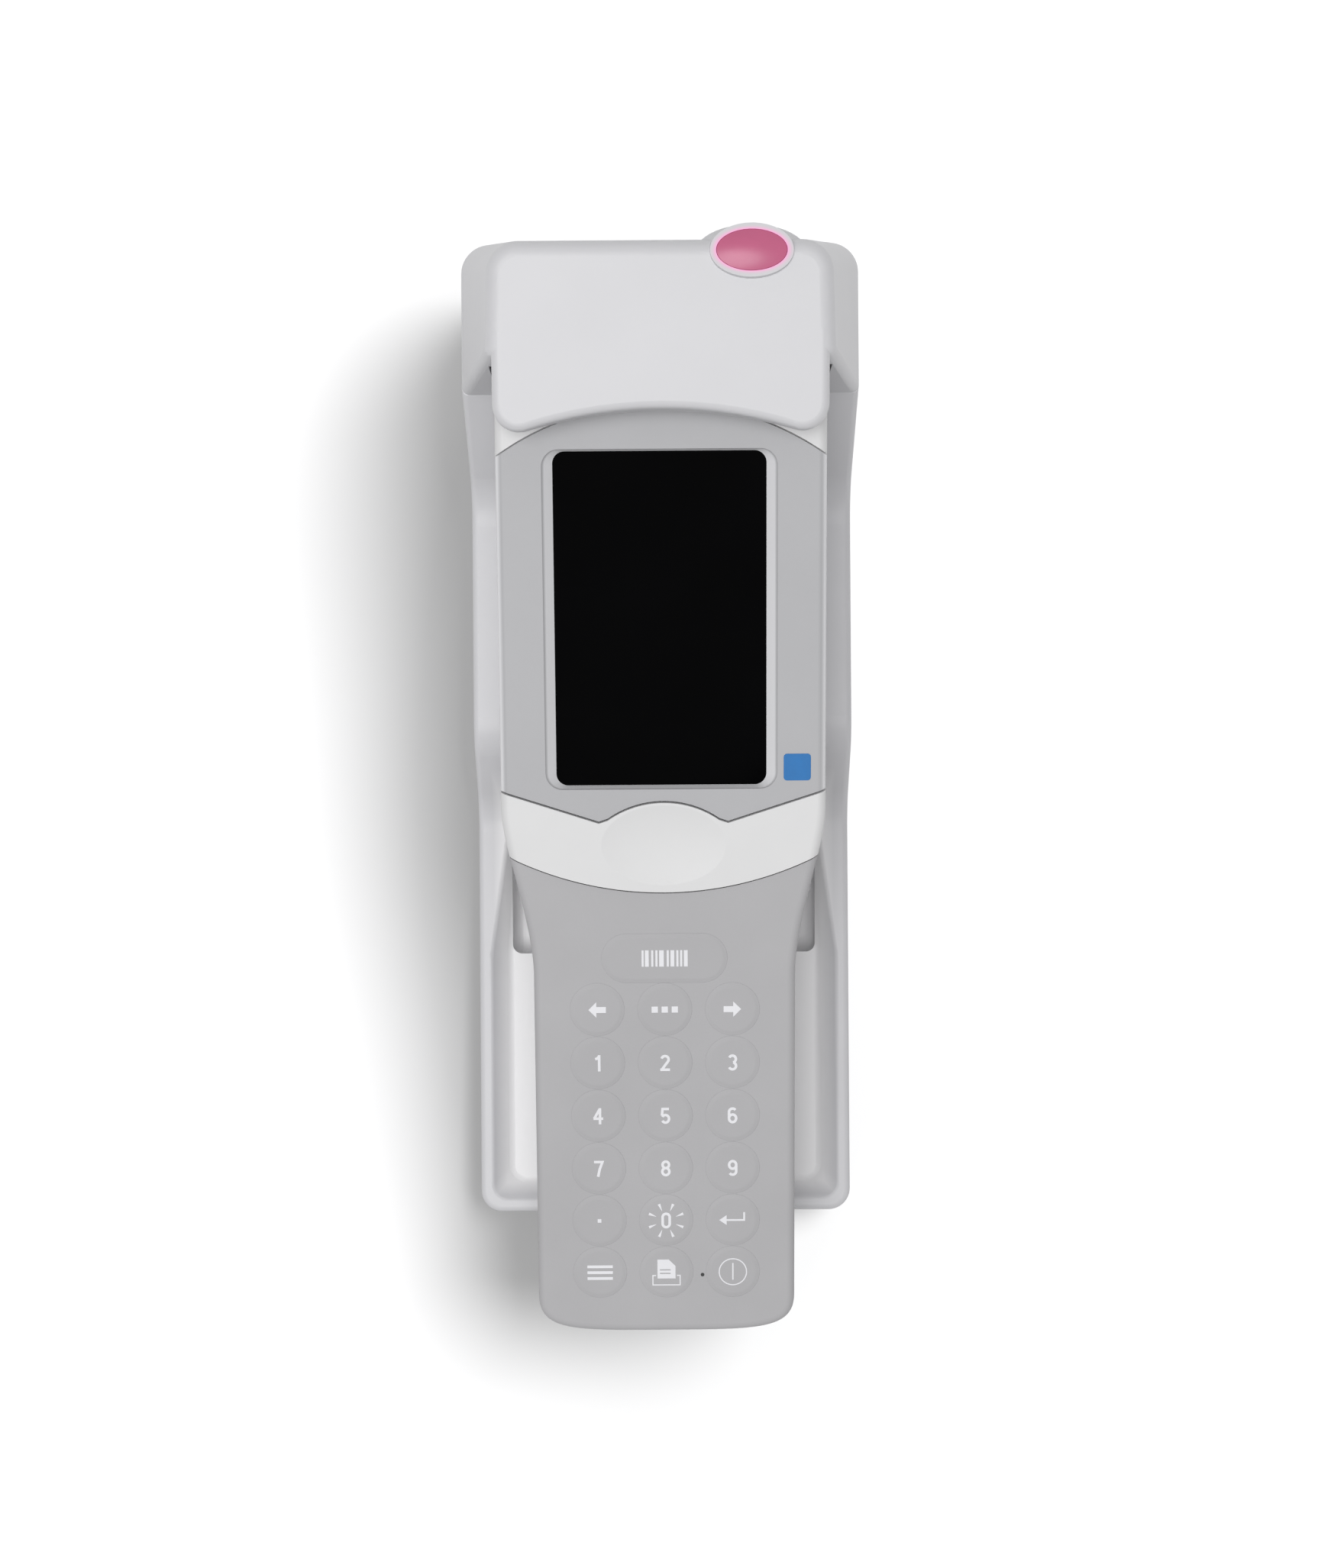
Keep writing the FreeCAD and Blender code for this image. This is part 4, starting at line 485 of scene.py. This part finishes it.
def skinOver(name, centre, halfStraight, radius):
    # Rings of one stadium outline, each at its radius. The height falls from the key's top to the panel
    # along a smooth step, and the underside repeats it one thickness lower.
    steps = skin["slopeSteps"]
    share = np.linspace(0, 1, steps)
    slopeRadii = radius - 0.35 + share * (skin["reach"] + 0.35)
    fall = 1 - share ** 2 * (3 - 2 * share)
    slopeHeights = skin["lift"] + skin["keyTop"] * fall
    inner = np.array([0.25, 0.5, 0.75, 0.92]) * slopeRadii[0]
    radii = np.concatenate([inner, slopeRadii])
    straights = np.minimum(1.0, radii / slopeRadii[0]) * halfStraight
    heights = np.concatenate([np.full(4, slopeHeights[0]), slopeHeights])
    angle = np.linspace(0, 2 * math.pi, skin["turns"], endpoint=False) + math.pi / skin["turns"]
    side = np.sign(np.cos(angle))
    x = centre[0] + straights[:, None] * side[None, :] + radii[:, None] * np.cos(angle)[None, :]
    y = centre[1] + radii[:, None] * np.sin(angle)[None, :]
    low = np.broadcast_to(heights[:, None], x.shape)
    upper = np.stack([x, y, low + skin["thickness"] * (1 - 0.6 * (radii[:, None] > slopeRadii[-2]))], axis=-1)
    under = np.stack([x, y, low], axis=-1)
    rings = np.concatenate([upper, under[::-1]])
    count, turns = rings.shape[:2]
    poles = np.array([[centre[0], centre[1], rings[0, 0, 2]], [centre[0], centre[1], rings[-1, 0, 2]]])
    points = np.concatenate([rings.reshape(-1, 3), poles])
    i, j = np.meshgrid(np.arange(count - 1), np.arange(turns), indexing="ij")
    k = (j + 1) % turns
    quads = np.stack([i * turns + j, (i + 1) * turns + j, (i + 1) * turns + k, i * turns + k], axis=-1)
    first, last = count * turns, count * turns + 1
    around = np.arange(turns)
    nextOne = (around + 1) % turns
    topFan = np.stack([np.full(turns, first), around, nextOne], axis=-1)
    lowFan = np.stack([np.full(turns, last), (count - 1) * turns + nextOne, (count - 1) * turns + around], axis=-1)
    faces = quads.reshape(-1, 4).tolist() + topFan.tolist() + lowFan.tolist()
    piece = meshObject(name, ontoFace(points * mm), faces, materials["keyGrey"])
    return piece


for key, centre in keyPlaces.items():
    wide = key == "key_wide"
    piece = skinOver(key.replace("key_", "skin_"), centre, skin["wideHalfStraight"] if wide else 0.0,
                     skin["wideRadius"] if wide else skin["keyRadius"])
    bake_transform(piece)
print("key skins made:", len(keyPlaces))


# ---------- marks on the keys ----------

ink = {"thickness": 0.03, "step": 0.006, "digitHeight": 4.05, "digitWidth": 2.35, "digitLine": 0.64, "line": 0.28,
       "arrowLength": 4.2, "arrowHeight": 3.8, "arrowShaft": 1.46, "arrowHead": 1.9,
       "rays": 8, "rayInner": 2.6, "rayOuter": 4.5, "rayWidth": 0.7,
       "powerRadius": 3.33, "powerBar": 4.3, "dot": 0.9,
       "pageWidth": 4.4, "pageHeight": 4.84, "pageFold": 1.65, "slotWidth": 6.93, "slotHeight": 2.7,
       "bars": [(-5.2, 0.5), (-4.2, 0.9), (-2.9, 0.5), (-1.9, 0.5), (-0.7, 1.1), (0.8, 0.5),
                (1.9, 0.9), (3.1, 0.5), (4.0, 0.5), (5.1, 0.9)], "barHeight": 4.0,
       "menuLength": 6.2, "menuStep": 1.5, "menuLine": 0.7}


def inkLine(path, width, closed=False):
    # A flat bar of one width carried along a path. At each corner both edges meet on the corner's middle line.
    path = np.asarray(path, float)
    step = np.roll(path, -1, axis=0) - path
    if not closed:
        step[-1] = step[-2]
    ahead = step / np.linalg.norm(step, axis=1)[:, None]
    behind = np.roll(ahead, 1, axis=0)
    if not closed:
        behind[0] = ahead[0]
    middle = ahead + behind
    middle /= np.linalg.norm(middle, axis=1)[:, None]
    stretch = 1 / np.maximum(0.6, (middle * ahead).sum(1))
    side = np.stack([-middle[:, 1], middle[:, 0]], axis=1) * (width / 2 * stretch)[:, None]
    left, right = path + side, path - side
    half = ink["thickness"] / 2
    corners = [np.insert(edge, 2, level, axis=1) for edge, level in
               ((left, half), (right, half), (right, -half), (left, -half))]
    points = np.stack(corners, axis=1).reshape(-1, 3)
    count = len(path)
    faces = []
    for k in range(count if closed else count - 1):
        here, there = 4 * k, 4 * ((k + 1) % count)
        faces += [[here + c, here + (c + 1) % 4, there + (c + 1) % 4, there + c] for c in range(4)]
    if not closed:
        faces += [[3, 2, 1, 0], [4 * count - 4 + c for c in range(4)]]
    return points, faces


def arc(x, y, across, along, first, last, steps=20):
    # Points on an ellipse about (x, y), from the first to the last angle in degrees.
    angle = np.radians(np.linspace(first, last, steps))
    return np.stack([x + across * np.cos(angle), y + along * np.sin(angle)], axis=1).tolist()


def digitPaths(figure):
    # Middle lines of a narrow figure, drawn between -a and a across and between -b and b along.
    a = (ink["digitWidth"] - ink["digitLine"]) / 2
    b = (ink["digitHeight"] - ink["digitLine"]) / 2
    bowl = 0.56 * b
    end = ink["digitLine"] / 2
    six = [arc(0, b - a, a, a, 35, 180, 14) + [(-a, bowl - b)], arc(0, bowl - b, a, bowl, 180, -180, 36)]
    paths = {
        "0": [arc(0, b - a, a, a, 0, 180) + arc(0, a - b, a, a, 180, 360)],
        "1": [[(0.35, -b - end), (0.35, b + end)], [(-0.62, 0.62 * b), (-0.1, 0.7 * b), (0.3, b)]],
        "2": [arc(0, b - a, a, a, 165, -38, 16) + [(-a + 0.05, -b)], [(-a - end, -b), (a + end, -b)]],
        "3": [arc(0, b - 0.5 * b, a * 0.95, 0.5 * b, 155, -80, 18), arc(0, 0.5 * b - b, a, 0.5 * b, 80, -155, 18)],
        "4": [[(0.4, -b - end), (0.4, b + end)], [(0.3, b), (-a - 0.15, -0.36 * b)],
              [(-a - end, -0.36 * b), (a + end, -0.36 * b)]],
        "5": [[(a, b), (-0.8 * a, b), (-a, 0.02 * b)], arc(0, bowl - b, a, bowl, 150, -150, 28)],
        "6": six,
        "7": [[(-a - end, b), (a, b), (0.2 * a, -0.1 * b), (-0.25 * a, -b - end)]],
        "8": [arc(0, b - 0.48 * b, a * 0.92, 0.48 * b, 0, 360, 30), arc(0, 0.52 * b - b, a, 0.52 * b, 0, 360, 30)],
        "9": [[(-x, -y) for x, y in path] for path in six],
    }
    return paths[figure]


def inkDigit(figure):
    # One bar per middle line, each a hair higher than the one before, so that crossings stay clean.
    parts = []
    for level, path in enumerate(digitPaths(figure)):
        path = path[:-1] if figure == "8" else path
        points, faces = inkLine(path, ink["digitLine"], closed=figure in "08")
        parts.append((points + (0, 0, level * ink["step"]), faces))
    return parts


def inkShape(outlines):
    # Flat closed outlines, holes included, filled and given the ink's thickness.
    curve = bpy.data.curves.new("sign", "CURVE")
    curve.dimensions = "2D"
    curve.fill_mode = "BOTH"
    curve.extrude = ink["thickness"] / 2
    for outline in outlines:
        spline = curve.splines.new("POLY")
        spline.points.add(len(outline) - 1)
        flat = np.concatenate([np.asarray(outline, float), np.zeros((len(outline), 1)),
                               np.ones((len(outline), 1))], axis=1)
        spline.points.foreach_set("co", flat.ravel())
        spline.use_cyclic_u = True
    holder = bpy.data.objects.new("sign", curve)
    bpy.context.scene.collection.objects.link(holder)
    bpy.context.view_layer.update()
    made = bpy.data.meshes.new_from_object(holder)
    points = np.zeros(len(made.vertices) * 3)
    made.vertices.foreach_get("co", points)
    faces = [list(f.vertices) for f in made.polygons]
    bpy.data.objects.remove(holder)
    return points.reshape(-1, 3), faces


def box(x, y, width, height):
    # The four corners of an upright rectangle about a centre.
    return [(x - width / 2, y - height / 2), (x + width / 2, y - height / 2),
            (x + width / 2, y + height / 2), (x - width / 2, y + height / 2)]


def circle(radius, steps=64):
    # Points at equal angles on a circle.
    angle = np.linspace(0, 2 * math.pi, steps, endpoint=False)
    return np.stack([radius * np.cos(angle), radius * np.sin(angle)], axis=1)


def arrowSign(direction):
    # A solid arrow along x: shaft, shoulders and tip.
    tip, back = ink["arrowLength"] / 2, -ink["arrowLength"] / 2
    neck = tip - ink["arrowHead"]
    half, wide = ink["arrowShaft"] / 2, ink["arrowHeight"] / 2
    shape = np.array([(back, -half), (neck, -half), (neck, -wide), (tip, 0), (neck, wide), (neck, half), (back, half)])
    return [shape * np.array([direction, 1]) if direction > 0 else (shape * np.array([-1, 1]))[::-1]]


def raySign():
    # Wedges at equal angles round the figure, wide outside and pointed inside.
    angle = (np.arange(ink["rays"]) + 0.5) * 2 * math.pi / ink["rays"]
    out = np.stack([np.cos(angle), np.sin(angle)], axis=1)
    along = np.stack([-np.sin(angle), np.cos(angle)], axis=1) * ink["rayWidth"] / 2
    inner = out * ink["rayInner"]
    outer = out * ink["rayOuter"]
    return [np.array([inner[n] - 0.1 * along[n], outer[n] - along[n], outer[n] + along[n], inner[n] + 0.1 * along[n]])
            for n in range(ink["rays"])]


def returnSign():
    # An arrow that comes down from the right and runs to the left.
    line = ink["line"] * 1.6
    return [[(-3.3, 0.0), (-1.5, -1.25), (-1.5, -line / 2), (3.0, -line / 2), (3.0, 2.0), (3.0 - line, 2.0),
             (3.0 - line, line / 2), (-1.5, line / 2), (-1.5, 1.25)]]


def pageSign():
    # A page with a folded corner that stands in a slot drawn as a frame.
    w, h, f, line = ink["pageWidth"] / 2, ink["pageHeight"], ink["pageFold"], ink["line"]
    base = -1.6
    page = [(-w, base), (w, base), (w, base + h - f), (w - f, base + h), (-w, base + h)]
    rules = [box(-0.3, base + 1.3, 2.6, 0.32), box(-0.3, base + 2.2, 2.6, 0.32)]
    sw, sh = ink["slotWidth"] / 2, ink["slotHeight"]
    top = base + 0.9
    left = [(-sw, top), (-sw, top - sh), (sw, top - sh), (sw, top), (w + 0.35, top), (w + 0.35, top - line),
            (sw - line, top - line), (sw - line, top - sh + line), (-sw + line, top - sh + line),
            (-sw + line, top - line), (-w - 0.35, top - line), (-w - 0.35, top)]
    return [page, *rules, left]


signs = {
    "key_left": [inkShape(arrowSign(-1))],
    "key_right": [inkShape(arrowSign(1))],
    "key_mode": [inkShape([box(-2.4, 0, 1.5, 1.5), box(0, 0, 1.5, 1.5), box(2.4, 0, 1.5, 1.5)])],
    "key_wide": [inkShape([box(x, 0, width, ink["barHeight"]) for x, width in ink["bars"]])],
    "key_point": [inkShape([box(0, 0, ink["dot"], ink["dot"])])],
    "key_0": [*inkDigit("0"), inkShape(raySign())],
    "key_enter": [inkShape(returnSign())],
    "key_menu": [inkShape([box(0, k * ink["menuStep"], ink["menuLength"], ink["menuLine"]) for k in (-1, 0, 1)])],
    "key_print": [inkShape(pageSign())],
    "key_power": [inkLine(circle(ink["powerRadius"]), ink["line"], closed=True),
                  inkShape([box(0, 0.1, ink["line"] * 1.2, ink["powerBar"])])],
}
for figure in "123456789":
    signs["key_" + figure] = inkDigit(figure)
for key, parts in signs.items():
    points, faces, total = [], [], 0
    for partPoints, partFaces in parts:
        points.append(partPoints)
        faces += [[v + total for v in f] for f in partFaces]
        total += len(partPoints)
    points = np.concatenate(points)
    points[:, 2] += skin["keyTop"] + skin["lift"] + skin["thickness"] + ink["thickness"] / 2 - 0.004
    points[:, :2] += keyPlaces[key]
    piece = meshObject(key.replace("key_", "mark_"), ontoFace(points * mm), faces, materials["legendWhite"], smooth=False)
    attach(piece, key)
# Painted shade: a flat black disc on the panel stands for the dark inside of the beeper's sound hole.
hole = {"x": 8.8, "y": 14.8, "radius": 0.45, "lift": 0.01}
points, faces = inkShape([circle(hole["radius"])])
points += (hole["x"], hole["y"], hole["lift"] + ink["thickness"] / 2)
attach(meshObject("sound_hole_shade", ontoFace(points * mm), faces, materials["socketBlack"], smooth=False), "analyzer")
print("marks made:", len(signs))


# ---------- the small blue label ----------

label = {"x": 31.6, "y": 140.5, "side": 6.4, "corner": 0.8, "thickness": 0.12, "cornerSteps": 8,
         "rim": 0.06}


def roundedTile(name, size, material):
    # A squircle-cornered outline carried through four levels: foot, wall, rolled rim and top.
    half, corner, steps = size["side"] / 2, size["corner"], size["cornerSteps"]
    quarter = np.linspace(0, math.pi / 2, steps)
    angle = np.concatenate([quarter + k * math.pi / 2 for k in range(4)])
    cx = np.repeat([1, -1, -1, 1], steps) * (half - corner)
    cy = np.repeat([1, 1, -1, -1], steps) * (half - corner)
    levels = [(0.0, 0.0), (0.0, size["thickness"] - size["rim"]), (size["rim"] * 0.3, size["thickness"] - size["rim"] * 0.3),
              (size["rim"], size["thickness"])]
    rings = [np.stack([cx + (corner - inset) * np.cos(angle), cy + (corner - inset) * np.sin(angle),
                       np.full(len(angle), z)], axis=1) for inset, z in levels]
    points = np.concatenate(rings)
    turns = len(angle)
    i, j = np.meshgrid(np.arange(len(levels) - 1), np.arange(turns), indexing="ij")
    k = (j + 1) % turns
    quads = np.stack([i * turns + j, i * turns + k, (i + 1) * turns + k, (i + 1) * turns + j], axis=-1)
    faces = quads.reshape(-1, 4).tolist()
    faces += [list(range((len(levels) - 1) * turns, len(levels) * turns)), list(range(turns))[::-1]]
    points[:, 0] += size["x"]
    points[:, 1] += size["y"]
    return meshObject(name, ontoFace(points * mm), faces, material, smooth=False)


tile = roundedTile("blue_label", label, materials["labelBlue"])
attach(tile, "analyzer")
print("label made")


# ---------- camera, floor and light ----------

view = {"height": 0.686, "x": -0.0010, "y": 0.00225, "lens": 59.05, "turnDegrees": -0.40}
cameraData = bpy.data.cameras.new("camera")
cameraData.lens = view["lens"]
cameraData.sensor_width = 36.0
camera = bpy.data.objects.new("camera", cameraData)
camera.location = (view["x"], view["y"], view["height"])
camera.rotation_euler = (0, 0, math.radians(view["turnDegrees"]))
bpy.context.scene.collection.objects.link(camera)
bpy.context.scene.camera = camera

floorLook = {"size": 8.0, "steps": 8, "seen": (0.41, 0.41, 0.412, 1), "bounced": (0.20, 0.20, 0.20, 1),
             "ownLight": 0.24, "farLight": 1.0, "spread": (1.0, 0.42, 0.0), "fadeFrom": 0.065,
             "fadeTo": 0.22}


def makeFloorMaterial():
    # Matt grey under a strong lamp, so it shows white and takes the shadow. It throws less light back up, and
    # has some light of its own that is only seen and that grows to white outside an oval round the object.
    material = bpy.data.materials.new("floorWhite")
    material.use_nodes = True
    tree = material.node_tree
    shader = next(n for n in tree.nodes if n.type == "BSDF_PRINCIPLED")
    shader.inputs["Roughness"].default_value = 0.9
    shader.inputs["Specular IOR Level"].default_value = 0.0
    path = addNode(tree, "ShaderNodeLightPath", -700, 0)
    seen = addNode(tree, "ShaderNodeMath", -450, 0, operation="MAXIMUM")
    tone = addNode(tree, "ShaderNodeMix", -250, 0)
    tone.data_type = "RGBA"
    tone.inputs["A"].default_value = floorLook["bounced"]
    tone.inputs["B"].default_value = floorLook["seen"]
    link = tree.links.new
    link(path.outputs["Is Camera Ray"], seen.inputs[0])
    link(path.outputs["Is Glossy Ray"], seen.inputs[1])
    link(seen.outputs[0], tone.inputs["Factor"])
    link(tone.outputs["Result"], shader.inputs["Base Color"])
    place = addNode(tree, "ShaderNodeTexCoord", -900, -300)
    oval = addNode(tree, "ShaderNodeVectorMath", -800, -300, operation="MULTIPLY")
    oval.inputs[1].default_value = floorLook["spread"]
    reach = addNode(tree, "ShaderNodeVectorMath", -650, -300, operation="LENGTH")
    far = addNode(tree, "ShaderNodeMapRange", -500, -300, From_Min=floorLook["fadeFrom"],
                  From_Max=floorLook["fadeTo"], To_Min=floorLook["ownLight"], To_Max=floorLook["farLight"])
    glow = addNode(tree, "ShaderNodeMath", -250, -300, operation="MULTIPLY")
    link(place.outputs["Object"], oval.inputs[0])
    link(oval.outputs[0], reach.inputs[0])
    link(reach.outputs["Value"], far.inputs["Value"])
    link(far.outputs[0], glow.inputs[1])
    shader.inputs["Emission Color"].default_value = (1, 1, 1, 1)
    link(seen.outputs[0], glow.inputs[0])
    link(glow.outputs[0], shader.inputs["Emission Strength"])
    return material


def makeFloor():
    # A flat square grid under the set.
    line = np.linspace(-floorLook["size"] / 2, floorLook["size"] / 2, floorLook["steps"])
    x, y = np.meshgrid(line, line, indexing="ij")
    points = np.stack([x.ravel(), y.ravel(), np.zeros(x.size)], axis=1)
    n = floorLook["steps"]
    i, j = np.meshgrid(np.arange(n - 1), np.arange(n - 1), indexing="ij")
    quads = np.stack([i * n + j, (i + 1) * n + j, (i + 1) * n + j + 1, i * n + j + 1], axis=-1)
    return meshObject("floor", points, quads.reshape(-1, 4).tolist(), makeFloorMaterial(), smooth=False)


floor = makeFloor()
floor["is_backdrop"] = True

sky = {"light": 0.42, "seen": 1.0}
world = bpy.data.worlds.new("studio")
bpy.context.scene.world = world
world.use_nodes = True
tree = world.node_tree
background = next(n for n in tree.nodes if n.type == "BACKGROUND")
background.inputs["Color"].default_value = (1, 1, 1, 1)
path = addNode(tree, "ShaderNodeLightPath", -700, 0)
cameraOrGlossy = addNode(tree, "ShaderNodeMath", -500, 0, operation="MAXIMUM")
anySeen = addNode(tree, "ShaderNodeMath", -350, 0, operation="MAXIMUM")
level = addNode(tree, "ShaderNodeMapRange", -200, 0, To_Min=sky["light"], To_Max=sky["seen"])
tree.links.new(path.outputs["Is Camera Ray"], cameraOrGlossy.inputs[0])
tree.links.new(path.outputs["Is Glossy Ray"], cameraOrGlossy.inputs[1])
tree.links.new(cameraOrGlossy.outputs[0], anySeen.inputs[0])
tree.links.new(path.outputs["Is Transmission Ray"], anySeen.inputs[1])
tree.links.new(anySeen.outputs[0], level.inputs["Value"])
tree.links.new(level.outputs[0], background.inputs["Strength"])

# The lamps over the object light only its pieces; the floor's own lamp throws the soft shadow to the left.
objectGroup = bpy.data.collections.new("lit pieces")
floorGroup = bpy.data.collections.new("lit floor")
bpy.context.scene.collection.children.link(objectGroup)
bpy.context.scene.collection.children.link(floorGroup)
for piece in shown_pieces():
    objectGroup.objects.link(piece)
floorGroup.objects.link(floor)

lamps = {
    "overhead": {"place": (-0.22, -0.12, 1.49), "size": 1.0, "power": 12.0, "group": objectGroup},
    "shadowLamp": {"place": (1.25, 0.62, 2.80), "size": 1.9, "power": 174.0, "group": floorGroup},
}
for name, lamp in lamps.items():
    data = bpy.data.lights.new(name, "AREA")
    data.shape = "DISK"
    data.size = lamp["size"]
    data.energy = lamp["power"]
    light = bpy.data.objects.new(name, data)
    light.location = lamp["place"]
    toward = np.array([0.0, 0.0, 0.04]) - np.array(lamp["place"])
    flat = math.hypot(toward[0], toward[1])
    light.rotation_euler = (math.atan2(flat, -toward[2]), 0, math.atan2(-toward[0], toward[1]))
    bpy.context.scene.collection.objects.link(light)
    light.light_linking.receiver_collection = lamp["group"]

scene = bpy.context.scene
scene.view_settings.view_transform = "Standard"
print("camera, floor and light set")
